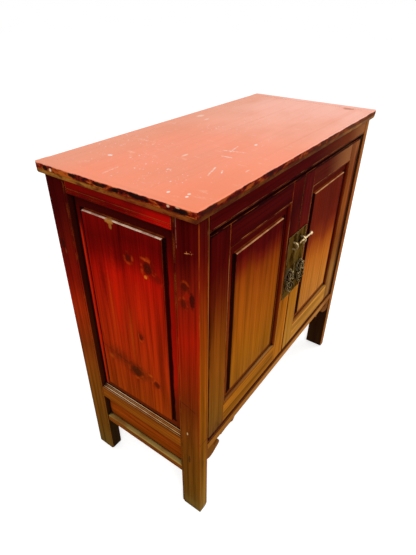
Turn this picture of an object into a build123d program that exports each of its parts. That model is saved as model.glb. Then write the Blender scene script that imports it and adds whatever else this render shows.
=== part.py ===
from build123d import *
import os

os.makedirs("parts", exist_ok=True)

# A low east asian cabinet with two pivot-hung doors, frame and raised-panel sides,
# a moulded top and a brass lock set. Millimetres. The origin is on the floor under
# the middle of the outline, +X to the right seen from the front, -Y to the front.

# ---- driving dimensions -------------------------------------------------------
HEIGHT = 860
TOP_WIDTH = 835
TOP_OVERHANG = 8  # in front; the top is flush with the posts at the back
TOP_THICKNESS = 25
TOP_CORNER = 4
BODY_WIDTH = 803
BODY_DEPTH = 374

POST_WIDTH = 30  # seen from the front
POST_DEPTH = 57  # seen from the side
FOOT_CHAMFER = 7

EDGE_WIDTH = 30  # mitred moulding round the top boards
EDGE_BAND = 12.5  # upright band above the ovolo
EDGE_STEP = 2
OVOLO_REACH = 8

RAIL_DEPTH = 36  # front rails, back to front
REAR_RAIL_DEPTH = 30
FRONT_TOP_RAIL_LOW = 801
BOTTOM_RAIL_LOW = 232
FRONT_BOTTOM_RAIL_TOP = 259.5
REAR_BOTTOM_RAIL_TOP = 278
POST_SCRIBE_Z = 278  # a line cut across the front of each front post
STOP_LIP = 9  # ledge behind the doors that stops them
STOP_LIP_RISE = 8

SIDE_TOP_RAIL_LOW = 803
SIDE_TOP_RAIL_DEPTH = 24
SIDE_MID_RAIL_LOW = 232
SIDE_MID_RAIL_ARRIS = 264
SIDE_MID_RAIL_TOP = 271
STRETCHER_LOW = 130
STRETCHER_TOP = 152
REED_COUNT = 4

PANEL_GROOVE = 8  # width of the grooves in posts and side rails
GROOVE_DEPTH = 6
MARGIN_RECESS = 14.5  # side panel margin, behind the post face
FIELD_RISE = 8
SIDE_MARGIN = 27

QUIRK = 1.2  # scribed line beside a bead
BEAD = 5
ARRIS = 2  # softened corner of a post
REED_RISE = 1.2

APRON_TOP = 250
APRON_THICKNESS = 12
APRON_STEP = 2  # the brackets stand this far behind the band

DOOR_LOW = 261
DOOR_TOP = 794
DOOR_THICKNESS = 23
DOOR_RECESS = 3
DOOR_GAP = 1.5
HINGE_STILE = 70
LOCK_STILE = 60
DOOR_TOP_RAIL = 53
DOOR_BOTTOM_RAIL = 67
DOOR_MARGIN = 22
DOOR_FIELD_RISE = 6
DOOR_GROOVE = 7
DOOR_MARGIN_RECESS = 8

PIVOT_RADIUS = 8
PIVOT_FIT = 0.08
LOWER_PIVOT = 7
UPPER_PIVOT = 18

FLOOR_THICKNESS = 12
SHELF_TOP = 545
SHELF_THICKNESS = 14
BEARER = 15

PLATE_WIDTH = 47
PLATE_LOW = 472
PLATE_TOP = 653
PLATE_THICKNESS = 2
LOOP_PLACES = {"left_lock_loop": -26, "right_lock_loop": 16}  # the pin's head is at the right
LOOP_Z = 625
LOOP_OUTER = 10
LOOP_WALL = 2.6
LOOP_WIDTH = 4.5
LOOP_REACH = 5.6
PIN_RADIUS = 2.4
PIN_LENGTH = 72
KNOB_RADIUS = 4.4
PULL_X = 30
PULL_Z = 553
PULL_REACH = 8
PULL_THICKNESS = 4.5
PULL_RING = 15
PULL_HOLE = 8.5
PULL_DROP = 35
BAR_RADIUS = 2.1
EYE_FIT = 0.08

# ---- derived places -----------------------------------------------------------
BODY_X = BODY_WIDTH / 2
BODY_Y = BODY_DEPTH / 2
TOP_X = TOP_WIDTH / 2
TOP_FRONT = -BODY_Y - TOP_OVERHANG
UNDER_TOP = HEIGHT - TOP_THICKNESS
POST_IN_X = BODY_X - POST_WIDTH
POST_IN_Y = BODY_Y - POST_DEPTH
GROOVE_OUT_X = BODY_X - MARGIN_RECESS
GROOVE_IN_X = GROOVE_OUT_X - PANEL_GROOVE
DOOR_FACE = -BODY_Y + DOOR_RECESS
DOOR_BACK = DOOR_FACE + DOOR_THICKNESS
DOOR_MID = (DOOR_FACE + DOOR_BACK) / 2
DOOR_OUT_X = POST_IN_X - DOOR_GAP
DOOR_IN_X = DOOR_GAP / 2
PIVOT_X = DOOR_OUT_X - DOOR_THICKNESS / 2
OPENING_OUT_X = DOOR_OUT_X - HINGE_STILE
OPENING_IN_X = DOOR_IN_X + LOCK_STILE
OPENING_LOW = DOOR_LOW + DOOR_BOTTOM_RAIL
OPENING_TOP = DOOR_TOP - DOOR_TOP_RAIL
DOOR_GROOVE_FRONT = DOOR_FACE + DOOR_MARGIN_RECESS
DOOR_GROOVE_BACK = DOOR_GROOVE_FRONT + DOOR_GROOVE
PLATE_FACE = DOOR_FACE - PLATE_THICKNESS
BACK_GROOVE_FRONT = 168
BACK_BOARD = 9
REAR_TOP_RAIL_LOW = 785
INSIDE_FRONT = -BODY_Y + RAIL_DEPTH
INSIDE_REAR = BODY_Y - REAR_RAIL_DEPTH

FRONT = Plane(origin=(0, 0, 0), x_dir=(1, 0, 0), z_dir=(0, -1, 0))
LEFT = Plane(origin=(0, 0, 0), x_dir=(0, -1, 0), z_dir=(-1, 0, 0))


# The lock set and the top reach further forward than back, so the middle of the overall
# outline lies this far in front of the body's own middle. Pieces are written about it.
OUTLINE_SHIFT = 9


# ---- helpers ------------------------------------------------------------------
def save(part, name):
    """Names a finished piece and writes it to its own file."""
    placed = part.moved(Location((0, OUTLINE_SHIFT, 0)))
    placed.label = name
    export_step(placed, f"parts/{name}.step")


def mirrored(part, plane):
    """The same piece on the other side of a plane."""
    with BuildPart() as twin:
        add(part)
        mirror(about=plane, mode=Mode.REPLACE)
    return twin.part


def save_pair(part, left_name, right_name):
    """Writes a left-hand piece and its mirror image."""
    save(part, left_name)
    save(mirrored(part, Plane.YZ), right_name)


def block(x, y, z, mode=Mode.ADD):
    """A box from three (low, high) ranges, in the part that is being built."""
    middle = tuple((low + high) / 2 for low, high in (x, y, z))
    with Locations(middle):
        Box(x[1] - x[0], y[1] - y[0], z[1] - z[0], mode=mode)


def side_tenons(z, mode):
    """Tenons of a left side rail, or the mortises that take them."""
    x = (-GROOVE_OUT_X, -GROOVE_IN_X)
    for y in ((-POST_IN_Y - 28, -POST_IN_Y), (POST_IN_Y, POST_IN_Y + 28)):
        block(x, y, z, mode)


def cross_tenons(y, z, mode):
    """Tenons of a front or rear rail, or the mortises that take them."""
    for x in ((-POST_IN_X - 18, -POST_IN_X), (POST_IN_X, POST_IN_X + 18)):
        block(x, y, z, mode)


def reeds(start, end, count):
    """Draws a row of half-round reeds from one point to the next, bulging to the left."""
    first = Vector(*start)
    step = (Vector(*end) - first) / count
    outward = step.normalized().rotate(Axis.Z, 90) * REED_RISE
    for index in range(count):
        low = first + step * index
        ThreePointArc(low, low + step / 2 + outward, low + step)


TENON_FRONT_Y = (-176, -166)
TENON_REAR_Y = (166, 176)
BOTTOM_TENON_Y = (-170, -160)  # front bottom rail, behind the apron
BOARD_GROOVE_Y = (BACK_GROOVE_FRONT, BACK_GROOVE_FRONT + BACK_BOARD)
TOP_TENON_Z = (812, 829)
BOTTOM_TENON_Z = (238, 253)
SIDE_TOP_TENON_Z = (811, 829)
SIDE_MID_TENON_Z = (239, 260)
STRETCHER_TENON_Z = (134, 145)


# ---- posts ----------------------------------------------------------------------
def post(rear):
    """A left-hand post, with beaded inner edges, mortises and panel grooves."""
    facing = 1 if rear else -1
    y_out = facing * BODY_Y
    y_in = facing * POST_IN_Y
    middle = (-(BODY_X + POST_IN_X) / 2, (y_out + y_in) / 2)
    with BuildPart() as blank:
        block((-BODY_X, -POST_IN_X), sorted((y_out, y_in)), (0, UNDER_TOP))
        foot = blank.faces().sort_by(Axis.Z)[0].edges()
        inner_x = foot.sort_by(Axis.X)[-1]
        inner_y = foot.sort_by_distance((middle[0], y_in, 0))[0]
        chamfer([inner_x, inner_y], length=FOOT_CHAMFER)
    with BuildPart() as piece:
        with BuildSketch() as section:
            with Locations(middle):
                Rectangle(POST_WIDTH, POST_DEPTH)
            inner_corner = section.vertices().sort_by_distance((0, 0))[0]
            fillet([v for v in section.vertices() if v != inner_corner], radius=ARRIS)
            with Locations((-BODY_X, y_in + facing * BEAD)):
                Rectangle(2 * QUIRK, QUIRK, mode=Mode.SUBTRACT)
            with Locations((-POST_IN_X - BEAD, y_out)):
                Rectangle(QUIRK, 2 * QUIRK, mode=Mode.SUBTRACT)
        extrude(amount=UNDER_TOP)
        add(blank.part, mode=Mode.INTERSECT)
        for z in (SIDE_TOP_TENON_Z, SIDE_MID_TENON_Z, STRETCHER_TENON_Z):
            side_tenons(z, Mode.SUBTRACT)
        top_tenon_y = TENON_REAR_Y if rear else TENON_FRONT_Y
        cross_tenons(top_tenon_y, TOP_TENON_Z, Mode.SUBTRACT)
        bottom_tenon_y = TENON_REAR_Y if rear else BOTTOM_TENON_Y
        cross_tenons(bottom_tenon_y, BOTTOM_TENON_Z, Mode.SUBTRACT)
        groove_y = sorted((y_in, y_in + facing * GROOVE_DEPTH))
        groove_z = (STRETCHER_TOP - GROOVE_DEPTH, SIDE_TOP_RAIL_LOW + GROOVE_DEPTH)
        block((-GROOVE_OUT_X, -GROOVE_IN_X), groove_y, groove_z, Mode.SUBTRACT)
        if rear:
            block(
                (-POST_IN_X - GROOVE_DEPTH, -POST_IN_X),
                BOARD_GROOVE_Y,
                (REAR_BOTTOM_RAIL_TOP - GROOVE_DEPTH, REAR_TOP_RAIL_LOW + GROOVE_DEPTH),
                Mode.SUBTRACT,
            )
        else:
            scribe = (POST_SCRIBE_Z, POST_SCRIBE_Z + QUIRK)
            block((-BODY_X, -POST_IN_X), (-BODY_Y, -BODY_Y + QUIRK), scribe, Mode.SUBTRACT)
    return piece.part


save_pair(post(rear=False), "front_left_post", "front_right_post")
save_pair(post(rear=True), "rear_left_post", "rear_right_post")

# ---- front rails and apron --------------------------------------------------------
SOCKET_DEPTH = 24

with BuildPart() as front_top_rail:
    with BuildSketch(Plane.YZ.offset(-POST_IN_X)):
        with BuildLine():
            Polyline(
                (-BODY_Y, UNDER_TOP),
                (-BODY_Y, FRONT_TOP_RAIL_LOW + BEAD + QUIRK),
                (-BODY_Y + QUIRK, FRONT_TOP_RAIL_LOW + BEAD),
                (-BODY_Y, FRONT_TOP_RAIL_LOW + BEAD),
            )
            RadiusArc(
                (-BODY_Y, FRONT_TOP_RAIL_LOW + BEAD), (-BODY_Y + BEAD / 2, FRONT_TOP_RAIL_LOW), -4.6
            )
            Polyline(
                (-BODY_Y + BEAD / 2, FRONT_TOP_RAIL_LOW),
                (INSIDE_FRONT - STOP_LIP, FRONT_TOP_RAIL_LOW),
                (INSIDE_FRONT - STOP_LIP, DOOR_TOP - STOP_LIP_RISE),
                (INSIDE_FRONT, DOOR_TOP - STOP_LIP_RISE),
                (INSIDE_FRONT, UNDER_TOP),
                (-BODY_Y, UNDER_TOP),
            )
        make_face()
    extrude(amount=2 * POST_IN_X)
    cross_tenons(TENON_FRONT_Y, TOP_TENON_Z, Mode.ADD)
    with Locations((-PIVOT_X, DOOR_MID, FRONT_TOP_RAIL_LOW), (PIVOT_X, DOOR_MID, FRONT_TOP_RAIL_LOW)):
        Cylinder(
            PIVOT_RADIUS + PIVOT_FIT,
            SOCKET_DEPTH,
            align=(Align.CENTER, Align.CENTER, Align.MIN),
            mode=Mode.SUBTRACT,
        )
save(front_top_rail.part, "front_top_rail")

APRON_BACK = -BODY_Y + APRON_THICKNESS

with BuildPart() as front_bottom_rail:
    with BuildSketch(Plane.YZ.offset(-POST_IN_X)):
        with BuildLine():
            Polyline(
                (INSIDE_FRONT, BOTTOM_RAIL_LOW),
                (APRON_BACK, BOTTOM_RAIL_LOW),
                (APRON_BACK, APRON_TOP),
                (DOOR_FACE, APRON_TOP),
            )
            ThreePointArc(
                (DOOR_FACE, APRON_TOP),
                (DOOR_FACE + QUIRK, (APRON_TOP + FRONT_BOTTOM_RAIL_TOP) / 2),
                (DOOR_FACE, FRONT_BOTTOM_RAIL_TOP),
            )
            Polyline(
                (DOOR_FACE, FRONT_BOTTOM_RAIL_TOP),
                (INSIDE_FRONT - STOP_LIP, FRONT_BOTTOM_RAIL_TOP),
                (INSIDE_FRONT - STOP_LIP, DOOR_LOW + STOP_LIP_RISE),
                (INSIDE_FRONT, DOOR_LOW + STOP_LIP_RISE),
                (INSIDE_FRONT, BOTTOM_RAIL_LOW),
            )
        make_face()
    extrude(amount=2 * POST_IN_X)
    cross_tenons(BOTTOM_TENON_Y, BOTTOM_TENON_Z, Mode.ADD)
    with Locations((-PIVOT_X, DOOR_MID, DOOR_LOW), (PIVOT_X, DOOR_MID, DOOR_LOW)):
        Cylinder(
            PIVOT_RADIUS + PIVOT_FIT,
            LOWER_PIVOT + 0.3,
            align=(Align.CENTER, Align.CENTER, Align.MAX),
            mode=Mode.SUBTRACT,
        )
save(front_bottom_rail.part, "front_bottom_rail")

# Places on the apron's edge are measured from the inner face of the left post.
BRACKET_END = 132


def from_post(x, z):
    """A point on the apron, x to the right of the left post."""
    return (-POST_IN_X + x, z)


with BuildPart() as front_apron:
    with BuildSketch(FRONT.offset(-APRON_BACK)):
        with BuildLine():
            Polyline(
                (0, BOTTOM_RAIL_LOW), (0, APRON_TOP), from_post(0, APRON_TOP), from_post(0, 193)
            )
            Spline(
                from_post(0, 193),
                from_post(26, 188.5),
                from_post(40, 195),
                from_post(49, 199),
                from_post(52.5, 205),
                from_post(50, 213),
                from_post(43, 220),
            )
            Spline(
                from_post(43, 220),
                from_post(39, 214),
                from_post(31, 213),
                from_post(27, 220),
                from_post(32, 226.5),
                from_post(44, 226.5),
                from_post(56, 227),
            )
            ThreePointArc(from_post(56, 227), from_post(59, 223.5), from_post(64, 223.5))
            Spline(from_post(64, 223.5), from_post(84, 225), from_post(106, 223))
            ThreePointArc(from_post(106, 223), from_post(111, 219), from_post(117, 222))
            Spline(
                from_post(117, 222), from_post(122, 228), from_post(BRACKET_END, BOTTOM_RAIL_LOW)
            )
            Line(from_post(BRACKET_END, BOTTOM_RAIL_LOW), (0, BOTTOM_RAIL_LOW))
        make_face()
        mirror(about=Plane.YZ)
    extrude(amount=APRON_THICKNESS - APRON_STEP)
    block(
        (-POST_IN_X, POST_IN_X),
        (-BODY_Y, -BODY_Y + APRON_STEP),
        (BOTTOM_RAIL_LOW, APRON_TOP),
    )
    fillet(front_apron.edges().filter_by(Axis.X).group_by(Axis.Y)[0], radius=1.5)
save(front_apron.part, "front_apron")

# ---- rear rails and boards ----------------------------------------------------------
with BuildPart() as rear_top_rail:
    block((-POST_IN_X, POST_IN_X), (INSIDE_REAR, BODY_Y), (REAR_TOP_RAIL_LOW, UNDER_TOP))
    cross_tenons(TENON_REAR_Y, TOP_TENON_Z, Mode.ADD)
    groove = (REAR_TOP_RAIL_LOW, REAR_TOP_RAIL_LOW + GROOVE_DEPTH)
    block((-POST_IN_X, POST_IN_X), BOARD_GROOVE_Y, groove, Mode.SUBTRACT)
save(rear_top_rail.part, "rear_top_rail")

with BuildPart() as rear_bottom_rail:
    rail_z = (BOTTOM_RAIL_LOW, REAR_BOTTOM_RAIL_TOP)
    block((-POST_IN_X, POST_IN_X), (INSIDE_REAR, BODY_Y), rail_z)
    cross_tenons(TENON_REAR_Y, BOTTOM_TENON_Z, Mode.ADD)
    groove = (REAR_BOTTOM_RAIL_TOP - GROOVE_DEPTH, REAR_BOTTOM_RAIL_TOP)
    block((-POST_IN_X, POST_IN_X), BOARD_GROOVE_Y, groove, Mode.SUBTRACT)
save(rear_bottom_rail.part, "rear_bottom_rail")

BACK_BOARDS = ("back_board_left", "back_board_middle", "back_board_right")
back_width = 2 * (POST_IN_X + GROOVE_DEPTH - 1)
board_width = back_width / len(BACK_BOARDS)
for index, name in enumerate(BACK_BOARDS):
    left = -back_width / 2 + index * board_width
    with BuildPart() as back_board:
        block(
            (left, left + board_width - 0.4),
            BOARD_GROOVE_Y,
            (REAR_BOTTOM_RAIL_TOP - GROOVE_DEPTH, REAR_TOP_RAIL_LOW + GROOVE_DEPTH - 1),
        )
        chamfer(back_board.edges().filter_by(Axis.Z).group_by(Axis.Y)[-1], length=1.5)
    save(back_board.part, name)

# ---- side rails -----------------------------------------------------------------------
SIDE_FACE = -BODY_X + 0.6
REED_FOOT = SIDE_FACE + REED_RISE
SIDE_LENGTH = (-POST_IN_Y, POST_IN_Y)
PANEL_GROOVE_X = (-GROOVE_OUT_X, -GROOVE_IN_X)
SIDE_SECTION = Plane(origin=(0, -POST_IN_Y, 0), x_dir=(1, 0, 0), z_dir=(0, -1, 0))

with BuildPart() as side_top_rail:
    with BuildSketch(SIDE_SECTION):
        with BuildLine():
            reed_top = SIDE_TOP_RAIL_LOW + 2 * BEAD
            reeds((REED_FOOT, SIDE_TOP_RAIL_LOW), (REED_FOOT, reed_top), 2)
            Polyline(
                (REED_FOOT, reed_top),
                (SIDE_FACE, reed_top + QUIRK),
                (SIDE_FACE, UNDER_TOP),
                (SIDE_FACE + SIDE_TOP_RAIL_DEPTH, UNDER_TOP),
                (SIDE_FACE + SIDE_TOP_RAIL_DEPTH, SIDE_TOP_RAIL_LOW),
                (REED_FOOT, SIDE_TOP_RAIL_LOW),
            )
        make_face()
    extrude(amount=-2 * POST_IN_Y)
    side_tenons(SIDE_TOP_TENON_Z, Mode.ADD)
    groove = (SIDE_TOP_RAIL_LOW, SIDE_TOP_RAIL_LOW + GROOVE_DEPTH)
    block(PANEL_GROOVE_X, SIDE_LENGTH, groove, Mode.SUBTRACT)
save_pair(side_top_rail.part, "left_side_top_rail", "right_side_top_rail")

with BuildPart() as side_mid_rail:
    with BuildSketch(SIDE_SECTION):
        with BuildLine():
            reeds((SIDE_FACE, SIDE_MID_RAIL_ARRIS), (-GROOVE_OUT_X, SIDE_MID_RAIL_TOP), REED_COUNT)
            Polyline(
                (-GROOVE_OUT_X, SIDE_MID_RAIL_TOP),
                (-POST_IN_X, SIDE_MID_RAIL_TOP),
                (-POST_IN_X, SIDE_MID_RAIL_LOW),
                (SIDE_FACE, SIDE_MID_RAIL_LOW),
                (SIDE_FACE, SIDE_MID_RAIL_ARRIS),
            )
        make_face()
    extrude(amount=-2 * POST_IN_Y)
    side_tenons(SIDE_MID_TENON_Z, Mode.ADD)
    upper_groove = (SIDE_MID_RAIL_TOP - GROOVE_DEPTH, SIDE_MID_RAIL_TOP)
    block(PANEL_GROOVE_X, SIDE_LENGTH, upper_groove, Mode.SUBTRACT)
    lower_groove = (SIDE_MID_RAIL_LOW, SIDE_MID_RAIL_LOW + GROOVE_DEPTH)
    block(PANEL_GROOVE_X, SIDE_LENGTH, lower_groove, Mode.SUBTRACT)
save_pair(side_mid_rail.part, "left_side_mid_rail", "right_side_mid_rail")

STRETCHER_FACE = SIDE_FACE + 1.5

with BuildPart() as side_stretcher:
    block((STRETCHER_FACE, -POST_IN_X - 2), SIDE_LENGTH, (STRETCHER_LOW, STRETCHER_TOP))
    front_edges = side_stretcher.edges().filter_by(Axis.Y).group_by(Axis.X)[0]
    fillet(front_edges, radius=3)
    side_tenons(STRETCHER_TENON_Z, Mode.ADD)
    groove = (STRETCHER_TOP - GROOVE_DEPTH, STRETCHER_TOP)
    block(PANEL_GROOVE_X, SIDE_LENGTH, groove, Mode.SUBTRACT)
save_pair(side_stretcher.part, "left_side_stretcher", "right_side_stretcher")


# ---- panels -----------------------------------------------------------------------------
PANEL_FLOAT = 1  # room for a panel to swell in its grooves
FIELD_TAPER = 9


def raised_panel(plane, slab, slab_thickness, field, rise):
    """A panel with a raised field. Its margin lies on the plane and its tongue behind it."""
    with BuildPart() as piece:
        with BuildSketch(plane):
            Rectangle(*slab)
        extrude(amount=-slab_thickness)
        with BuildSketch(plane):
            Rectangle(*field)
        extrude(amount=rise, taper=FIELD_TAPER)
    return piece.part


panel_low = SIDE_MID_RAIL_TOP - GROOVE_DEPTH + PANEL_FLOAT
panel_high = SIDE_TOP_RAIL_LOW + GROOVE_DEPTH - PANEL_FLOAT
side_plane = Plane(
    origin=(-GROOVE_OUT_X, 0, (panel_low + panel_high) / 2), x_dir=(0, -1, 0), z_dir=(-1, 0, 0)
)
side_slab = (2 * (POST_IN_Y + GROOVE_DEPTH - PANEL_FLOAT), panel_high - panel_low)
side_field = (
    2 * (POST_IN_Y - SIDE_MARGIN),
    SIDE_TOP_RAIL_LOW - SIDE_MID_RAIL_TOP - 2 * SIDE_MARGIN,
)
side_panel = raised_panel(side_plane, side_slab, PANEL_GROOVE, side_field, FIELD_RISE)
save_pair(side_panel, "left_side_panel", "right_side_panel")

with BuildPart() as lower_side_panel:
    block(
        PANEL_GROOVE_X,
        (-POST_IN_Y - GROOVE_DEPTH + PANEL_FLOAT, POST_IN_Y + GROOVE_DEPTH - PANEL_FLOAT),
        (STRETCHER_TOP - GROOVE_DEPTH, SIDE_MID_RAIL_LOW + GROOVE_DEPTH - PANEL_FLOAT),
    )
save_pair(lower_side_panel.part, "left_lower_panel", "right_lower_panel")

# ---- floor and shelf ----------------------------------------------------------------------
FLOOR_TOP = FRONT_BOTTOM_RAIL_TOP
FLOOR_LOW = FLOOR_TOP - FLOOR_THICKNESS
FLOOR_FRONT = INSIDE_FRONT
floor_middle = (FLOOR_FRONT + INSIDE_REAR) / 2

for name, y in (
    ("floor_board_front", (FLOOR_FRONT, floor_middle - 0.3)),
    ("floor_board_rear", (floor_middle + 0.3, INSIDE_REAR)),
):
    with BuildPart() as floor_board:
        block((-POST_IN_X, POST_IN_X), y, (FLOOR_LOW, FLOOR_TOP))
    save(floor_board.part, name)

with BuildPart() as floor_bearer:
    block((-POST_IN_X, -POST_IN_X + BEARER), SIDE_LENGTH, (FLOOR_LOW - BEARER, FLOOR_LOW))
    chamfer(floor_bearer.edges().filter_by(Axis.Y).sort_by_distance((0, 0, 0))[0], length=4)
save_pair(floor_bearer.part, "floor_bearer_left", "floor_bearer_right")

SHELF_LOW = SHELF_TOP - SHELF_THICKNESS
SHELF_FRONT = INSIDE_FRONT + 3
SHELF_REAR = BACK_GROOVE_FRONT - 2

with BuildPart() as shelf:
    block((-POST_IN_X, POST_IN_X), (SHELF_FRONT, SHELF_REAR), (SHELF_LOW, SHELF_TOP))
    fillet(shelf.edges().filter_by(Axis.X).group_by(Axis.Y)[0], radius=3)
save(shelf.part, "shelf")

with BuildPart() as shelf_bearer:
    bearer_length = (SHELF_FRONT + BEAD, SHELF_REAR)
    block((-POST_IN_X, -POST_IN_X + BEARER), bearer_length, (SHELF_LOW - BEARER, SHELF_LOW))
    chamfer(shelf_bearer.edges().filter_by(Axis.Y).sort_by_distance((0, 0, 0))[0], length=4)
save_pair(shelf_bearer.part, "shelf_bearer_left", "shelf_bearer_right")

# ---- top ------------------------------------------------------------------------------------
TONGUE_LENGTH = 8
TONGUE_Z = (UNDER_TOP + 8, UNDER_TOP + 16)
BOARD_X = TOP_X - EDGE_WIDTH
BOARD_FRONT = TOP_FRONT + EDGE_WIDTH
BOARD_REAR = BODY_Y - EDGE_WIDTH
TONGUE_IN = EDGE_WIDTH - TONGUE_LENGTH


def edge_section(plane, reach):
    """Section of the top moulding: an upright band, a small step and an ovolo under it."""
    band_low = HEIGHT - EDGE_BAND
    with BuildSketch(plane) as section:
        with BuildLine():
            RadiusArc((reach - ARRIS, HEIGHT), (reach, HEIGHT - ARRIS), ARRIS)
            Polyline(
                (reach, HEIGHT - ARRIS),
                (reach, band_low),
                (reach - EDGE_STEP, band_low),
            )
            TangentArc(
                (reach - EDGE_STEP, band_low), (reach - OVOLO_REACH, UNDER_TOP), tangent=(0.4, -1)
            )
            Polyline(
                (reach - OVOLO_REACH, UNDER_TOP),
                (reach - EDGE_WIDTH, UNDER_TOP),
                (reach - EDGE_WIDTH, TONGUE_Z[0]),
                (reach - TONGUE_IN, TONGUE_Z[0]),
                (reach - TONGUE_IN, TONGUE_Z[1]),
                (reach - EDGE_WIDTH, TONGUE_Z[1]),
                (reach - EDGE_WIDTH, HEIGHT),
                (reach - ARRIS, HEIGHT),
            )
        make_face()
    return section.sketch


def trimmed(corners):
    """Cuts the member being built to a plan outline, and rounds the top's corners."""
    with BuildSketch(Plane.XY.offset(UNDER_TOP - 1)) as outline:
        with BuildLine():
            Polyline(*corners, close=True)
        make_face()
        with Locations((0, (TOP_FRONT + BODY_Y) / 2)):
            RectangleRounded(TOP_WIDTH, BODY_Y - TOP_FRONT, TOP_CORNER, mode=Mode.INTERSECT)
    extrude(outline.sketch, amount=TOP_THICKNESS + 2, mode=Mode.INTERSECT)


with BuildPart() as top_front_edge:
    front_plane = Plane(origin=(-TOP_X, 0, 0), x_dir=(0, -1, 0), z_dir=(-1, 0, 0))
    extrude(edge_section(front_plane, -TOP_FRONT), amount=-TOP_WIDTH)
    trimmed([(-TOP_X, TOP_FRONT), (TOP_X, TOP_FRONT), (BOARD_X, BOARD_FRONT), (-BOARD_X, BOARD_FRONT)])
save(top_front_edge.part, "top_front_edge")

with BuildPart() as top_left_edge:
    left_plane = Plane(origin=(0, BODY_Y, 0), x_dir=(-1, 0, 0), z_dir=(0, 1, 0))
    extrude(edge_section(left_plane, TOP_X), amount=TOP_FRONT - BODY_Y)
    trimmed([(-TOP_X, TOP_FRONT), (-BOARD_X, BOARD_FRONT), (-BOARD_X, BODY_Y), (-TOP_X, BODY_Y)])
save_pair(top_left_edge.part, "top_left_edge", "top_right_edge")

with BuildPart() as top_rear_edge:
    block((-BOARD_X, BOARD_X), (BOARD_REAR, BODY_Y), (UNDER_TOP, HEIGHT))
    fillet(top_rear_edge.edges().filter_by(Axis.X).group_by(Axis.Y)[-1].sort_by(Axis.Z)[-1], ARRIS)
    block((-BOARD_X, BOARD_X), (BOARD_REAR, BOARD_REAR + TONGUE_LENGTH), TONGUE_Z, Mode.SUBTRACT)
save(top_rear_edge.part, "top_rear_edge")

TOP_BOARDS = ("top_board_front", "top_board_middle", "top_board_rear")
top_board_depth = (BOARD_REAR - BOARD_FRONT) / len(TOP_BOARDS)
TONGUE_END = TONGUE_LENGTH - PANEL_FLOAT
for index, name in enumerate(TOP_BOARDS):
    front = BOARD_FRONT + index * top_board_depth
    rear = front + top_board_depth
    tongue_front = front - TONGUE_END if index == 0 else front
    tongue_rear = rear + TONGUE_END if name == TOP_BOARDS[-1] else rear
    with BuildPart() as top_board:
        block((-BOARD_X, BOARD_X), (front, rear), (UNDER_TOP, HEIGHT))
        block((-BOARD_X - TONGUE_END, BOARD_X + TONGUE_END), (tongue_front, tongue_rear), TONGUE_Z)
    save(top_board.part, name)

BATTEN_X = 190
BATTEN_WIDTH = 40
BATTEN_THICKNESS = 16

with BuildPart() as top_batten:
    block(
        (-BATTEN_X - BATTEN_WIDTH / 2, -BATTEN_X + BATTEN_WIDTH / 2),
        (INSIDE_FRONT, INSIDE_REAR),
        (UNDER_TOP - BATTEN_THICKNESS, UNDER_TOP),
    )
    chamfer(top_batten.edges().filter_by(Axis.Y).group_by(Axis.Z)[0], length=4)
save_pair(top_batten.part, "top_batten_left", "top_batten_right")

# ---- doors ----------------------------------------------------------------------------------
DOOR_TENON = 30
LOWER_TENON_Z = (DOOR_LOW + 10, OPENING_LOW - 12)
UPPER_TENON_Z = (OPENING_TOP + 12, DOOR_TOP - 12)
DOOR_TENON_Y = (DOOR_GROOVE_FRONT, DOOR_GROOVE_BACK)
opening_middle = (-(OPENING_OUT_X + OPENING_IN_X) / 2, (OPENING_LOW + OPENING_TOP) / 2)
opening_size = (OPENING_OUT_X - OPENING_IN_X, OPENING_TOP - OPENING_LOW)

with BuildPart() as door_ring:
    with BuildSketch(Plane.XY.offset(DOOR_LOW)):
        with Locations((-(PIVOT_X + DOOR_IN_X) / 2, DOOR_MID)):
            Rectangle(PIVOT_X - DOOR_IN_X, DOOR_THICKNESS)
        with Locations((-PIVOT_X, DOOR_MID)):
            Circle(DOOR_THICKNESS / 2)
    extrude(amount=DOOR_TOP - DOOR_LOW)
    with BuildSketch(FRONT.offset(-DOOR_BACK)):
        with Locations(opening_middle):
            Rectangle(*opening_size)
    extrude(amount=DOOR_THICKNESS, mode=Mode.SUBTRACT)
    inner_edges = (
        door_ring.edges()
        .filter_by(lambda e: abs(e.center().Y - DOOR_FACE) < 0.01)
        .filter_by(lambda e: OPENING_IN_X - 1 < -e.center().X < OPENING_OUT_X + 1)
        .filter_by(lambda e: OPENING_LOW - 1 < e.center().Z < OPENING_TOP + 1)
    )
    fillet(inner_edges, radius=3)
    with BuildSketch(FRONT.offset(-DOOR_FACE)):
        with Locations(opening_middle):
            Rectangle(opening_size[0] + 2 * BEAD, opening_size[1] + 2 * BEAD)
            Rectangle(
                opening_size[0] + 2 * BEAD - 2 * QUIRK,
                opening_size[1] + 2 * BEAD - 2 * QUIRK,
                mode=Mode.SUBTRACT,
            )
    extrude(amount=-QUIRK, mode=Mode.SUBTRACT)
    with BuildSketch(FRONT.offset(-DOOR_GROOVE_BACK)):
        with Locations(opening_middle):
            Rectangle(opening_size[0] + 2 * GROOVE_DEPTH, opening_size[1] + 2 * GROOVE_DEPTH)
    extrude(amount=DOOR_GROOVE, mode=Mode.SUBTRACT)


def door_member(outline):
    """The stretch of the door frame in front of an outline drawn on the door's face."""
    with BuildPart() as member:
        add(door_ring.part)
        with BuildSketch(FRONT.offset(-DOOR_BACK - 1)):
            with BuildLine():
                Polyline(*outline, close=True)
            make_face()
        extrude(amount=DOOR_THICKNESS + 2, mode=Mode.INTERSECT)
    return member.part


def rail_tenons(z, mode):
    """The two tenons of a door rail, or the mortises that take them."""
    outer = -OPENING_OUT_X - BEAD
    inner = -OPENING_IN_X + BEAD
    block((outer - DOOR_TENON, outer), DOOR_TENON_Y, z, mode)
    block((inner, inner + DOOR_TENON), DOOR_TENON_Y, z, mode)


BELOW = DOOR_LOW - 1
ABOVE = DOOR_TOP + 1
OUT = -OPENING_OUT_X
IN = -OPENING_IN_X

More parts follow.
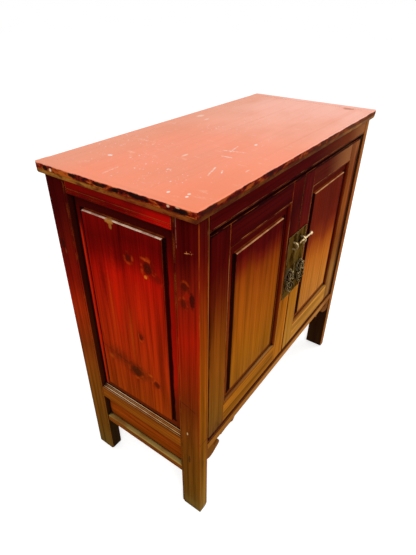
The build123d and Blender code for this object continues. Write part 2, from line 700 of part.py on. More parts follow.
with BuildPart() as hinge_stile:
    outline = [
        (-POST_IN_X, BELOW),
        (OUT - BEAD, BELOW),
        (OUT - BEAD, OPENING_LOW - BEAD),
        (OUT, OPENING_LOW),
        (OUT, OPENING_TOP),
        (OUT - BEAD, OPENING_TOP + BEAD),
        (OUT - BEAD, ABOVE),
        (-POST_IN_X, ABOVE),
    ]
    add(door_member(outline))
    for z in (LOWER_TENON_Z, UPPER_TENON_Z):
        rail_tenons(z, Mode.SUBTRACT)
    with Locations((-PIVOT_X, DOOR_MID, DOOR_LOW - LOWER_PIVOT)):
        Cylinder(PIVOT_RADIUS, LOWER_PIVOT, align=(Align.CENTER, Align.CENTER, Align.MIN))
    with Locations((-PIVOT_X, DOOR_MID, DOOR_TOP)):
        Cylinder(PIVOT_RADIUS, UPPER_PIVOT, align=(Align.CENTER, Align.CENTER, Align.MIN))
save_pair(hinge_stile.part, "left_door_hinge_stile", "right_door_hinge_stile")

with BuildPart() as lock_stile:
    outline = [
        (0, BELOW),
        (IN + BEAD, BELOW),
        (IN + BEAD, OPENING_LOW - BEAD),
        (IN, OPENING_LOW),
        (IN, OPENING_TOP),
        (IN + BEAD, OPENING_TOP + BEAD),
        (IN + BEAD, ABOVE),
        (0, ABOVE),
    ]
    add(door_member(outline))
    for z in (LOWER_TENON_Z, UPPER_TENON_Z):
        rail_tenons(z, Mode.SUBTRACT)
save_pair(lock_stile.part, "left_door_lock_stile", "right_door_lock_stile")

for name, outside, arris, tenon_z in (
    ("door_bottom_rail", BELOW, OPENING_LOW, LOWER_TENON_Z),
    ("door_top_rail", ABOVE, OPENING_TOP, UPPER_TENON_Z),
):
    behind = arris - BEAD if outside < arris else arris + BEAD
    with BuildPart() as door_rail:
        outline = [
            (OUT - BEAD, outside),
            (IN + BEAD, outside),
            (IN + BEAD, behind),
            (IN, arris),
            (OUT, arris),
            (OUT - BEAD, behind),
        ]
        add(door_member(outline))
        rail_tenons(tenon_z, Mode.ADD)
    save_pair(door_rail.part, f"left_{name}", f"right_{name}")

door_plane = Plane(
    origin=(opening_middle[0], DOOR_GROOVE_FRONT, opening_middle[1]),
    x_dir=(1, 0, 0),
    z_dir=(0, -1, 0),
)
door_slab = tuple(size + 2 * (GROOVE_DEPTH - PANEL_FLOAT) for size in opening_size)
door_field = tuple(size - 2 * DOOR_MARGIN for size in opening_size)
door_panel = raised_panel(door_plane, door_slab, DOOR_GROOVE, door_field, DOOR_FIELD_RISE)
save_pair(door_panel, "left_door_panel", "right_door_panel")

# ---- lock set -------------------------------------------------------------------------------
BOSS_RADIUS = 17.5
BOSS_RISE = 3.6
BOSS_STEP = 2.4
BOSS_Z = PULL_Z - 10

with BuildPart() as lock_plate:
    with BuildSketch(FRONT.offset(-DOOR_FACE)):
        with Locations((-DOOR_GAP / 2 - PLATE_WIDTH / 2, (PLATE_LOW + PLATE_TOP) / 2)):
            RectangleRounded(PLATE_WIDTH, PLATE_TOP - PLATE_LOW, 2)
    extrude(amount=PLATE_THICKNESS)
save_pair(lock_plate.part, "left_lock_plate", "right_lock_plate")

EYE_HOLE = BAR_RADIUS + EYE_FIT
EYE_OUTER = 4.6
EYE_WIDTH = 5
PULL_Y = PLATE_FACE - PULL_REACH

with BuildPart() as pull_boss:
    with BuildSketch(FRONT.offset(-PLATE_FACE)):
        with Locations((-PULL_X, BOSS_Z)):
            Circle(BOSS_RADIUS)
    extrude(amount=BOSS_RISE / 2)
    with BuildSketch(FRONT.offset(-PLATE_FACE + BOSS_RISE / 2)):
        with Locations((-PULL_X, BOSS_Z)):
            Circle(BOSS_RADIUS - BOSS_STEP)
    extrude(amount=BOSS_RISE / 2)
    eye_seat = ((-PULL_X - EYE_WIDTH / 2, -PULL_X + EYE_WIDTH / 2), PULL_Z)
    block(
        eye_seat[0],
        (PLATE_FACE - BOSS_RISE, PLATE_FACE),
        (PULL_Z - EYE_OUTER, PULL_Z + EYE_OUTER),
        Mode.SUBTRACT,
    )
save_pair(pull_boss.part, "left_pull_boss", "right_pull_boss")

side_view = Plane(origin=(-PULL_X - EYE_WIDTH / 2, 0, 0), x_dir=(0, 1, 0), z_dir=(1, 0, 0))
with BuildPart() as pull_eye:
    with BuildSketch(side_view):
        with Locations((PULL_Y, PULL_Z)):
            Circle(EYE_OUTER)
        with Locations(((PULL_Y + PLATE_FACE) / 2, PULL_Z)):
            Rectangle(PULL_REACH, 2 * EYE_OUTER)
        with Locations((PULL_Y, PULL_Z)):
            Circle(EYE_HOLE, mode=Mode.SUBTRACT)
    extrude(amount=EYE_WIDTH)
save_pair(pull_eye.part, "left_pull_eye", "right_pull_eye")

RING_Z = PULL_Z - PULL_DROP
BAR_HALF = 8.5
ARM_WIDTH = 3.4
LOBE_COUNT = 6
LOBE_RADIUS = 5.2
FINIAL_RADIUS = 4.2

with BuildPart() as pull:
    with BuildSketch(FRONT.offset(-PULL_Y - PULL_THICKNESS / 2)):
        with Locations((-PULL_X, RING_Z)):
            Circle(PULL_RING)
            with PolarLocations(PULL_RING, LOBE_COUNT, start_angle=-90):
                Circle(LOBE_RADIUS)
        with Locations((-PULL_X, RING_Z - PULL_RING - FINIAL_RADIUS)):
            Circle(FINIAL_RADIUS)
        with Locations((-PULL_X, RING_Z)):
            Circle(PULL_HOLE, mode=Mode.SUBTRACT)
        for side in (-1, 1):
            with BuildLine():
                Polyline(
                    (-PULL_X + side * (BAR_HALF - ARM_WIDTH), PULL_Z),
                    (-PULL_X + side * BAR_HALF, PULL_Z),
                    (-PULL_X + side * (BAR_HALF + 3), PULL_Z - 16),
                    (-PULL_X + side * 4, RING_Z + PULL_RING - 3),
                    (-PULL_X + side * (BAR_HALF - 1), PULL_Z - 16),
                    close=True,
                )
            make_face()
    extrude(amount=PULL_THICKNESS)
    with Locations(Plane(origin=(-PULL_X, PULL_Y, PULL_Z), z_dir=(1, 0, 0))):
        Cylinder(BAR_RADIUS, 2 * BAR_HALF)
save_pair(pull.part, "left_pull", "right_pull")

LOOP_Y = PLATE_FACE - LOOP_REACH

for name, loop_x in LOOP_PLACES.items():
    loop_start = Plane(origin=(loop_x - LOOP_WIDTH / 2, 0, 0), x_dir=(0, 1, 0), z_dir=(1, 0, 0))
    with BuildPart() as lock_loop:
        with BuildSketch(loop_start):
            for radius, mode in ((LOOP_OUTER, Mode.ADD), (LOOP_OUTER - LOOP_WALL, Mode.SUBTRACT)):
                with Locations((LOOP_Y, LOOP_Z)):
                    Circle(radius, mode=mode)
                with Locations(((LOOP_Y + PLATE_FACE) / 2, LOOP_Z)):
                    Rectangle(LOOP_REACH, 2 * radius, mode=mode)
            with Locations((PLATE_FACE + LOOP_OUTER, LOOP_Z)):
                Rectangle(2 * LOOP_OUTER, 4 * LOOP_OUTER, mode=Mode.SUBTRACT)
        extrude(amount=LOOP_WIDTH)
    save(lock_loop.part, name)

PIN_PLAY = 0.8  # the pin lies low in its loops
PIN_Z = LOOP_Z - LOOP_OUTER + LOOP_WALL + PIN_RADIUS + PIN_PLAY
PIN_Y = LOOP_Y
PIN_TIP_X = DOOR_IN_X + 1

with BuildPart() as lock_pin:
    with BuildSketch(Plane(origin=(PIN_TIP_X, PIN_Y, PIN_Z), x_dir=(1, 0, 0), z_dir=(0, -1, 0))):
        with BuildLine():
            Polyline(
                (0, 0),
                (0, PIN_RADIUS),
                (PIN_LENGTH - 2 * KNOB_RADIUS, PIN_RADIUS),
                (PIN_LENGTH - 1.5 * KNOB_RADIUS, KNOB_RADIUS),
                (PIN_LENGTH - 0.5 * KNOB_RADIUS, KNOB_RADIUS),
                (PIN_LENGTH, PIN_RADIUS - 0.5),
                (PIN_LENGTH, 0),
            )
            Line((PIN_LENGTH, 0), (0, 0))
        make_face()
    revolve(axis=Axis((0, PIN_Y, PIN_Z), (1, 0, 0)))
save(lock_pin.part, "lock_pin")
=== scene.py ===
import math

import bpy
from mathutils import Matrix, Vector

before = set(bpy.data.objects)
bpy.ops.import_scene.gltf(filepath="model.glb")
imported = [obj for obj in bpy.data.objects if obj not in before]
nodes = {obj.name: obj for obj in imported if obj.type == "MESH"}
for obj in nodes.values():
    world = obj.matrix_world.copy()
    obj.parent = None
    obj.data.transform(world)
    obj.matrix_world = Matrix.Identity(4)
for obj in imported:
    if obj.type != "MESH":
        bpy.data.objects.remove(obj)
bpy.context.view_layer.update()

# A red-lacquered kang cabinet. Every visible piece is the CAD's own solid with softer arrises;
# colour, grain, wear, knots and chips, and some painted shade, shadow and highlights, all come
# from procedural materials.
# Metres throughout, in the imported model's frame: +Z up, -Y to the front.
# The middle between the front and rear posts lies this far behind the frame's origin.
BODY_MIDDLE_Y = 0.009

SCENE = bpy.context.scene
SCENE.view_settings.view_transform = "Standard"


def srgb(red, green, blue):
    """An 8-bit sRGB colour as a linear RGBA one."""
    def linear(value):
        value /= 255
        return value / 12.92 if value <= 0.04045 else ((value + 0.055) / 1.055) ** 2.4

    return (linear(red), linear(green), linear(blue), 1.0)


# ---- a small layer over the shader nodes --------------------------------------------------
SCALAR_RESULTS = ("LENGTH", "DISTANCE", "DOT_PRODUCT")
OWN_SHIFT = 57.0  # features of noise, at most, from one piece's pattern to another's


class Nodes:
    """A node tree under construction. Methods add nodes and return the last one's output."""

    def __init__(self, tree):
        self.tree = tree

    def add(self, kind, **settings):
        """Adds a node and returns the node itself."""
        node = self.tree.nodes.new(kind)
        for name, value in settings.items():
            setattr(node, name, value)
        return node

    def feed(self, socket, value):
        """Links an output to a socket, or sets the socket's own value."""
        if isinstance(value, bpy.types.NodeSocket):
            self.tree.links.new(value, socket)
        else:
            socket.default_value = value

    def feed_all(self, node, values):
        for socket, value in zip(node.inputs, values):
            self.feed(socket, value)

    def calc(self, operation, *values, clamp=False):
        node = self.add("ShaderNodeMath", operation=operation, use_clamp=clamp)
        self.feed_all(node, values)
        return node.outputs[0]

    def times(self, *values):
        """The product of the values. A single one is passed on as it is."""
        total = values[0]
        for value in values[1:]:
            total = self.calc("MULTIPLY", total, value)
        return total

    def plus(self, first, second):
        return self.calc("ADD", first, second)

    def minus(self, first, second):
        return self.calc("SUBTRACT", first, second)

    def larger(self, first, second):
        return self.calc("MAXIMUM", first, second)

    def unsigned(self, value):
        return self.calc("ABSOLUTE", value)

    def remap(self, value, low, high, to_low=0.0, to_high=1.0):
        """Smoothly from to_low at low to to_high at high, and flat outside."""
        node = self.add("ShaderNodeMapRange", interpolation_type="SMOOTHSTEP")
        self.feed_all(node, (value, low, high, to_low, to_high))
        return node.outputs[0]

    def seen(self):
        """1 for what the camera sees, directly, through glass or in a reflection."""
        path = self.add("ShaderNodeLightPath")
        direct = self.larger(path.outputs["Is Camera Ray"], path.outputs["Is Transmission Ray"])
        return self.larger(direct, path.outputs["Is Glossy Ray"])


class Finish(Nodes):
    """One material under construction."""

    def __init__(self, name):
        self.material = bpy.data.materials.new(name)
        self.material.use_nodes = True
        super().__init__(self.material.node_tree)
        self.bsdf = self.tree.nodes["Principled BSDF"]
        # A piece's own coordinates are the frame's at rest, and go with the piece when it moves.
        coordinates = self.add("ShaderNodeTexCoord")
        self.place = coordinates.outputs["Object"]
        self.normal = coordinates.outputs["Normal"]
        self.own = self.add("ShaderNodeObjectInfo").outputs["Random"]
        self.xyz = tuple(self.axis(letter) for letter in "XYZ")

    def vector(self, operation, *values):
        node = self.add("ShaderNodeVectorMath", operation=operation)
        self.feed_all(node, values)
        return node.outputs["Value" if operation in SCALAR_RESULTS else "Vector"]

    def axis(self, letter, vector=None):
        """One component of a vector, by default of the place."""
        node = self.add("ShaderNodeSeparateXYZ")
        self.feed(node.inputs[0], self.place if vector is None else vector)
        return node.outputs[letter]

    def triple(self, value):
        """A vector, or a grey, with this value in all three components."""
        node = self.add("ShaderNodeCombineXYZ")
        self.feed_all(node, (value,) * 3)
        return node.outputs[0]

    def noise(self, features, detail=3.0, roughness=0.55, shift=0.0, own=True, distortion=0.0):
        """Noise with this many features a metre, in one number or along x, y and z. With own,
        each piece has a pattern of its own."""
        if isinstance(features, (int, float)):
            features = (features,) * 3
        place = self.vector("MULTIPLY", self.place, features)
        if own:
            place = self.vector("ADD", place, self.triple(self.times(self.own, OWN_SHIFT)))
        place = self.vector("ADD", place, (shift, shift * 0.7, shift * 1.3))
        node = self.add("ShaderNodeTexNoise")
        self.feed(node.inputs["Vector"], place)
        self.feed(node.inputs["Scale"], 1.0)
        self.feed(node.inputs["Detail"], detail)
        self.feed(node.inputs["Roughness"], roughness)
        self.feed(node.inputs["Distortion"], distortion)
        return node.outputs[0]

    def drawn(self, pattern, grain, **settings):
        """Noise drawn out along the grain, from its features a metre along and across it."""
        along, across = pattern
        return self.noise([along if letter == grain else across for letter in "XYZ"], **settings)

    def patches(self, features, low, high, least=0.0, most=1.0, **settings):
        """Patches from least to most, where noise with these features goes from low to high."""
        return self.remap(self.noise(features, **settings), low, high, least, most)

    def wobble(self, features, spread, **settings):
        """Noise around 0, whose two ends lie this spread apart."""
        return self.times(self.minus(self.noise(features, **settings), 0.5), spread)

    def mix(self, first, second, *shares, blend="MIX"):
        """Two colours, outputs or sRGB ones, with the product of these shares of the second."""
        node = self.add("ShaderNodeMix", data_type="RGBA", blend_type=blend, clamp_factor=True)
        self.feed(node.inputs[0], self.times(*shares))
        for socket, colour in zip(node.inputs[6:8], (first, second)):
            self.feed(socket, srgb(*colour) if isinstance(colour, tuple) else colour)
        return node.outputs[2]

    def ramp(self, value, stops):
        """A colour ramp through (position, sRGB colour) stops."""
        node = self.add("ShaderNodeValToRGB")
        elements = node.color_ramp.elements
        while len(elements) < len(stops):
            elements.new(0.5)
        for element, (position, colour) in zip(elements, stops):
            element.position = position
            element.color = srgb(*colour)
        self.feed(node.inputs[0], value)
        return node.outputs[0]

    def band(self, value, low, high, soft=0.0007):
        """1 where the value lies from low to high, with soft sides."""
        rise = self.remap(value, low - soft, low + soft)
        return self.times(rise, self.remap(value, high + soft, high - soft))

    def reach(self, centre, size, ragged=0.0):
        """Distance from an ellipsoid's centre, 1 on its rim, made uneven by ragged."""
        offset = self.vector("SUBTRACT", self.place, centre)
        distance = self.vector("LENGTH", self.vector("DIVIDE", offset, size))
        return self.plus(distance, self.wobble(150, ragged, detail=3, own=False))

    def spot(self, centre, size, edge, ragged):
        """1 inside an ellipsoid, from the edge's share of its size falling to 0 at its rim."""
        return self.remap(self.reach(centre, size, ragged), 1.0, edge)

    def stroke(self, start, end, width):
        """1 along a straight stroke, broken up a little along its length."""
        run = Vector(end) - Vector(start)
        offset = self.vector("SUBTRACT", self.place, start)
        covered = self.vector("DOT_PRODUCT", offset, tuple(run))
        along = self.calc("DIVIDE", covered, run.length_squared, clamp=True)
        foot = self.vector("MULTIPLY", self.triple(along), tuple(run))
        distance = self.vector("DISTANCE", offset, foot)
        faint = self.patches(230, 0.36, 0.56, detail=2, own=False)
        return self.times(self.remap(distance, width / 2, width / 5), faint)

    def edge(self, radius):
        """1 near the arrises, both the proud and the hollow ones."""
        rounded = self.add("ShaderNodeBevel", samples=6)
        self.feed(rounded.inputs["Radius"], radius)
        flat = self.add("ShaderNodeNewGeometry").outputs["Normal"]
        likeness = self.vector("DOT_PRODUCT", rounded.outputs[0], flat)
        return self.remap(likeness, 0.995, 0.90)

    def openness(self, distance):
        """1 in the open, and less where something stands within this distance."""
        node = self.add("ShaderNodeAmbientOcclusion", samples=8)
        self.feed(node.inputs["Distance"], distance)
        return node.outputs["AO"]

    def bump(self, height, strength, distance):
        node = self.add("ShaderNodeBump")
        self.feed(node.inputs["Strength"], strength)
        self.feed(node.inputs["Distance"], distance)
        self.feed(node.inputs["Height"], height)
        self.feed(self.bsdf.inputs["Normal"], node.outputs[0])

    def finish(self, colour, roughness, specular, metallic=0.0):
        self.feed(self.bsdf.inputs["Base Color"], colour)
        self.feed(self.bsdf.inputs["Roughness"], roughness)
        self.bsdf.inputs["Specular IOR Level"].default_value = specular
        self.bsdf.inputs["Metallic"].default_value = metallic
        return self.material


HEIGHT = 0.86

# Patterns of the wood: features a metre along the grain and across it.
GRAIN = (1.6, 90)
STREAK = (3.2, 210)
FIBRE = (9, 700)
BROAD = (0.7, 18)
FIGURE = (0.55, 7)

# Specular levels: more gloss lays a pale veil over the lacquer.
LACQUER_GLOSS = 0.001
TOP_GLOSS = 0.03

SHADE_AND_DIRT = (18, 4, 5)  # painted shade and dirt in joints, gaps and recesses
# Arris colours: rubbed lacquer, and painted highlights on the arrises and the field's step.
ARRIS_WEAR_AND_HIGHLIGHT = (172, 84, 22)
PALE_ARRIS_HIGHLIGHT = (232, 206, 180)
TAN_ARRIS_HIGHLIGHT = (206, 150, 100)
LIT_STEP_TOP = (132, 58, 22)
KNOT_HEART = (40, 16, 6)
KNOT_SHADE = (80, 14, 4)
KNOT_RIM = (206, 74, 14)
BARE_INSIDE = (108, 76, 46)


def stops(*pairs):
    """Ramp stops from (height in metres, sRGB colour) pairs, over 0 to HEIGHT."""
    return [(height / HEIGHT, colour) for height, colour in pairs]


# Lacquer colours by height, from the floor up: each piece fades from a dark red top to
# rubbed orange-brown lower down, and the right door is paler than the left.
POST_FRONT = stops(
    (0.00, (128, 96, 42)),
    (0.10, (134, 90, 26)),
    (0.26, (132, 76, 13)),
    (0.40, (144, 78, 9)),
    (0.52, (146, 68, 7)),
    (0.62, (134, 50, 5)),
    (0.71, (104, 22, 4)),
    (0.77, (76, 8, 4)),
    (0.86, (60, 8, 6)),
)
POST_SIDE = stops(
    (0.00, (108, 80, 28)),
    (0.10, (108, 66, 12)),
    (0.26, (116, 62, 10)),
    (0.34, (124, 58, 11)),
    (0.40, (114, 44, 7)),
    (0.50, (146, 38, 6)),
    (0.60, (164, 26, 5)),
    (0.70, (118, 22, 7)),
    (0.77, (74, 6, 4)),
    (0.86, (68, 5, 4)),
)
SIDE_RAIL = stops(
    (0.10, (122, 64, 12)),
    (0.25, (142, 74, 12)),
    (0.30, (146, 72, 12)),
    (0.78, (96, 8, 5)),
    (0.86, (112, 8, 5)),
)
SIDE_PANEL = stops(
    (0.13, (148, 66, 8)),
    (0.28, (140, 52, 5)),
    (0.36, (144, 46, 5)),
    (0.46, (158, 40, 6)),
    (0.56, (158, 30, 5)),
    (0.66, (160, 16, 4)),
    (0.71, (112, 7, 3)),
    (0.75, (92, 5, 3)),
    (0.79, (104, 6, 3)),
)
FRONT_RAIL = stops(
    (0.18, (150, 92, 28)),
    (0.25, (160, 98, 34)),
    (0.27, (96, 34, 14)),
    (0.78, (66, 5, 5)),
    (0.86, (66, 5, 5)),
)
LEFT_HINGE_STILE = stops(
    (0.26, (106, 66, 24)),
    (0.33, (114, 70, 16)),
    (0.45, (124, 66, 10)),
    (0.55, (118, 56, 7)),
    (0.61, (106, 42, 5)),
    (0.66, (92, 24, 4)),
    (0.72, (74, 6, 3)),
    (0.80, (62, 4, 4)),
)
LEFT_LOCK_STILE = stops(
    (0.26, (184, 110, 28)),
    (0.33, (182, 108, 24)),
    (0.45, (166, 92, 12)),
    (0.55, (152, 72, 10)),
    (0.60, (122, 42, 7)),
    (0.65, (84, 12, 4)),
    (0.72, (64, 4, 4)),
    (0.80, (86, 9, 5)),
)
LEFT_DOOR_RAIL = stops(
    (0.26, (150, 90, 20)),
    (0.33, (160, 94, 16)),
    (0.74, (66, 5, 5)),
    (0.80, (64, 5, 5)),
)
LEFT_FIELD = stops(
    (0.33, (140, 84, 20)),
    (0.42, (150, 86, 12)),
    (0.50, (154, 80, 10)),
    (0.58, (146, 70, 9)),
    (0.64, (130, 54, 6)),
    (0.672, (104, 26, 5)),
    (0.70, (76, 6, 4)),
    (0.75, (66, 4, 4)),
)
RIGHT_LOCK_STILE = stops(
    (0.26, (174, 118, 44)),
    (0.33, (172, 114, 38)),
    (0.45, (164, 100, 18)),
    (0.54, (148, 76, 12)),
    (0.60, (116, 40, 7)),
    (0.66, (84, 14, 5)),
    (0.72, (70, 6, 5)),
    (0.80, (70, 8, 5)),
)
RIGHT_HINGE_STILE = stops(
    (0.26, (140, 92, 42)),
    (0.38, (158, 106, 44)),
    (0.44, (132, 76, 24)),
    (0.50, (122, 62, 12)),
    (0.60, (136, 68, 20)),
    (0.70, (120, 58, 20)),
    (0.80, (130, 74, 40)),
)
RIGHT_DOOR_RAIL = stops(
    (0.26, (186, 126, 50)),
    (0.33, (184, 122, 44)),
    (0.74, (70, 14, 6)),
    (0.80, (74, 18, 7)),
)
RIGHT_FIELD = stops(
    (0.33, (182, 116, 48)),
    (0.42, (190, 114, 38)),
    (0.49, (184, 100, 26)),
    (0.53, (162, 76, 16)),
    (0.568, (130, 46, 9)),
    (0.61, (103, 26, 6)),
    (0.66, (96, 22, 5)),
    (0.75, (96, 24, 5)),
)


def tone_at(f, height, tones):
    """The colour that these stops give for a height."""
    return f.ramp(f.calc("DIVIDE", height, HEIGHT), tones)


STREAK_DRIFT = 0.11  # how far streaks and patches move the colours up and down, in metres
PATCH_DRIFT = 0.05


def height_tone(f, tones, grain):
    """The lacquer's colour by height, its border drawn out along the grain."""
    streak = f.times(f.drawn(BROAD, grain, detail=3, shift=3.0), STREAK_DRIFT)
    patch = f.times(f.noise(6, detail=2, shift=9.0, own=False), PATCH_DRIFT)
    drift = f.minus(f.plus(streak, patch), (STREAK_DRIFT + PATCH_DRIFT) / 2)
    return tone_at(f, f.plus(f.axis("Z"), drift), tones)


def knot(f, tone, centre, size, strength):
    """A knot seen through the lacquer: a dark heart, a soft shade and a faint glow round it."""
    distance = f.reach(centre, size, ragged=0.55)
    tone = f.mix(tone, KNOT_SHADE, f.remap(distance, 2.4, 0.9), 0.45 * strength)
    fleck = f.patches(70, 0.46, 0.66, detail=3, own=False, shift=2.0)
    halo = f.times(f.remap(distance, 2.0, 1.35), f.remap(distance, 0.9, 1.2))
    tone = f.mix(tone, KNOT_RIM, halo, fleck, 0.5 * strength)
    rings = f.remap(f.calc("FRACT", f.times(distance, 2.4)), 0.2, 0.9, 0.6, 1.0)
    return f.mix(tone, KNOT_HEART, f.remap(distance, 1.15, 0.55), rings, strength)


def add_knots(f, tone, knots):
    """Knots, each a (centre, half sizes, strength)."""
    for centre, size, strength in knots:
        tone = knot(f, tone, centre, size, strength)
    return tone


BOLD = 0.6  # a mark stronger than this has a crisp rim, and a fainter one fades outwards


def paint_marks(f, tone, marks):
    """Chips, blots and scratches: (centre, half sizes, colour, strength) for a spot, and
    (start, end, width, colour, strength) for a stroke."""
    for mark in marks:
        if len(mark) == 5:
            start, end, width, colour, strength = mark
            share = f.stroke(start, end, width)
        else:
            centre, size, colour, strength = mark
            share = f.spot(centre, size, edge=0.55 if strength > BOLD else 0.0, ragged=0.8)
        tone = f.mix(tone, colour, share, strength)
    return tone


def on_side(x, marks, depth=0.02):
    """Marks or knots on a face at x, from their places and half sizes along y and z. A stroke
    has two places and no half sizes."""
    return tuple(
        ((x, *first), (x if len(rest) == 3 else depth, *second), *rest)
        for first, second, *rest in marks
    )


def on_top(marks, depth=0.01):
    """Marks on the top, in the same way, from their places and half sizes along x and y."""
    return tuple(
        ((*first, HEIGHT), (*second, HEIGHT if len(rest) == 3 else depth), *rest)
        for first, second, *rest in marks
    )


def inner_wood(f, tone, facing, grained):
    """Bare wood on the faces that look into the cabinet: along Y for the front, X for a side."""
    inward = f.axis(facing, f.normal)
    if facing == "X":
        inward = f.times(inward, f.calc("SIGN", f.axis("X")), -1.0)
    wood = f.mix((92, 62, 36), (140, 104, 66), f.remap(grained, 0.3, 0.7))
    return f.mix(tone, wood, f.remap(inward, 0.5, 0.8))


def ring_lines(f, grain, count, distortion, low, high):
    """The dark lines of the growth rings, which deepen from low to high and end sharply."""
    figure = f.drawn(FIGURE, grain, detail=2, distortion=distortion)
    rings = f.calc("FRACT", f.times(figure, count))
    return f.times(f.remap(rings, low, high), f.remap(rings, 1.0, 0.95))


JOINT_REACH = 0.011  # a joint or recess narrower than about this gets painted shade and dirt
ARRIS_RADIUS = 0.0026


def lacquer(
    name, grain, front, side=None, wear_and_highlight=1.0, detail=None, marks=(), figure=1.0, inner=None
):
    """Worn lacquer over wood: tone by height, another one on faces that look sideways, grain,
    the detail's own lines, marks, bare wood inside, painted shade and dirt in the joints and
    recesses, and rubbed arrises with a painted highlight."""
    f = Finish(name)
    tone = height_tone(f, front, grain)
    if side:
        sideways = f.remap(f.unsigned(f.axis("X", f.normal)), 0.4, 0.8)
        tone = f.mix(tone, height_tone(f, side, grain), sideways)
    broad = f.drawn(BROAD, grain, detail=3)
    grained = f.drawn(GRAIN, grain, detail=4, roughness=0.6)
    fibre = f.drawn(FIBRE, grain, detail=2)
    streak = f.drawn(STREAK, grain, detail=3, roughness=0.7)
    ring_line = ring_lines(f, grain, count=13.0, distortion=0.3, low=0.45, high=0.92)
    shade = f.plus(
        f.remap(broad, 0.3, 0.7, -0.16, 0.2), f.remap(grained, 0.25, 0.75, -0.2, 0.16)
    )
    shade = f.plus(shade, f.remap(fibre, 0.3, 0.7, -0.09, 0.08))
    shade = f.plus(shade, f.remap(streak, 0.34, 0.62, -0.24, 0.12))
    shade = f.minus(shade, f.times(ring_line, 0.2))
    shade = f.plus(f.times(shade, figure), 1.05)
    tone = f.mix(tone, f.triple(shade), 1.0, blend="MULTIPLY")
    if detail:
        tone = detail(f, tone)
    tone = paint_marks(f, tone, marks)
    if inner:
        tone = inner_wood(f, tone, inner, grained)
    open_ = f.openness(JOINT_REACH)
    # Painted shade and dirt where a place is closed in, in joints and recesses.
    tone = f.mix(tone, SHADE_AND_DIRT, f.remap(open_, 0.80, 0.45), 0.92)
    proud = f.remap(open_, 0.70, 0.92)
    rubbed = f.patches(28, 0.40, 0.60, detail=4, shift=5.0)
    # Rubbed arrises, which also carry a painted highlight.
    arris = f.times(f.edge(ARRIS_RADIUS), proud, rubbed, 0.75 * wear_and_highlight)
    tone = f.mix(tone, ARRIS_WEAR_AND_HIGHLIGHT, arris)
    relief = f.plus(f.times(grained, 0.6), f.times(fibre, 0.4))
    f.bump(relief, strength=0.3, distance=0.0006)
    return f.finish(tone, f.remap(grained, 0.2, 0.8, 0.52, 0.36), LACQUER_GLOSS)


def field_lines(
    across, out, face, middle, reach, heights, margin, grime_and_shade, highlight_tone, rim_depth, bite=0.0
):
    """Detail for a panel with a raised field, which lies between two heights and reaches this
    far either side of middle along across, with its face at face along out. The panel round it
    has margin's tones by height. grime_and_shade says how wide the painted shade and dirt are
    in the recess at the near side, the far side and the foot, and bite how far they creep onto
    the field at the far side. The field's upward step and top arris carry a painted highlight,
    partly rubbing, and are paler, highlight_tone, down to rim_depth behind the face."""
    low, high = heights
    near_grime_and_shade, far_grime_and_shade, foot_grime_and_shade = grime_and_shade

    def detail(f, tone):
        z = f.axis("Z")
        place = f.minus(f.axis(across), middle)
        far = f.minus(place, reach)
        near = f.minus(f.times(place, -1.0), reach)
        beneath = f.minus(low, z)
        above = f.minus(z, high)
        aside = f.larger(far, near)
        outside = f.larger(aside, f.larger(beneath, above))
        edging = tone_at(f, z, margin)
        tone = f.mix(tone, edging, f.remap(outside, 0.0, 0.002), 0.85)
        ragged = f.wobble(26, 0.006, detail=4, shift=11.0)

        def recess(distance, width):
            """1 from the field's edge outwards, fading at this width."""
            fade = f.remap(f.plus(distance, ragged), width + 0.0015, width - 0.0015)
            return f.times(f.remap(distance, -0.0009, 0.0005), fade)

        # Painted shade and dirt in the recess round the field.
        far_recess = recess(f.plus(far, bite), far_grime_and_shade + bite)
        beside = f.larger(recess(near, near_grime_and_shade), far_recess)
        above_foot = f.remap(beneath, foot_grime_and_shade + 0.004, foot_grime_and_shade - 0.001)
        beside = f.times(beside, above_foot, f.remap(above, 0.004, 0.0))
        foot = f.times(recess(beneath, foot_grime_and_shade), f.remap(aside, 0.012, 0.004))
        tone = f.mix(tone, SHADE_AND_DIRT, f.larger(beside, foot), 0.93)
        tone = f.mix(tone, (54, 8, 6), f.band(above, 0.003, 0.04, 0.002), 0.55)
        # A painted highlight, partly rubbing, on the field's upward step and top arris.
        worn = f.patches(30, 0.36, 0.52, 0.45, 1.0, detail=3, shift=2.0)
        lit_crest = f.band(above, -0.0010, 0.0030, 0.0004)
        lit_crest = f.times(lit_crest, f.remap(aside, 0.0, -0.002), worn)
        tone = f.mix(tone, LIT_STEP_TOP, lit_crest, 0.75)
        depth = f.minus(face, f.unsigned(f.axis(out)))
        rim = f.times(lit_crest, f.remap(depth, rim_depth, rim_depth - 0.001), 0.92)
        return f.mix(tone, highlight_tone, rim)

    return detail


# Pairs like these are the two sides of a line, or where a change begins and where it is full.
COVE = (0.2505, 0.2600)  # heights of the bottom rail's cove
BAND_TOP = 0.2500  # of the apron's plain band, below the cove
CARVING_TOP = (0.2335, 0.2310)


def cove_and_band(f, tone):
    """The bottom rail's cove, dark with painted shade, above the apron's rubbed band and its
    darker carving.
    """
    x, _, z = f.xyz
    # Painted shade in the cove.
    tone = f.mix(tone, (52, 10, 18), f.band(z, *COVE, 0.001), 0.9)
    rubbed = f.mix((146, 90, 30), (178, 118, 56), f.remap(x, -0.36, 0.1))
    rubbed = f.mix(rubbed, (112, 58, 24), f.remap(x, 0.28, 0.34, 0.0, 0.7))
    below_cove = f.remap(z, BAND_TOP + 0.0005, BAND_TOP - 0.0005)
    tone = f.mix(tone, rubbed, below_cove, 0.85)
    return f.mix(tone, (86, 44, 12), f.remap(z, *CARVING_TOP, 0.0, 0.6))


# The opening in a door's frame, whose middle lies this far either side of the cabinet's.
OPENING_MIDDLE = 0.1804
OPENING_REACH = 0.1196
OPENING_LOW = 0.328
OPENING_TOP = 0.741

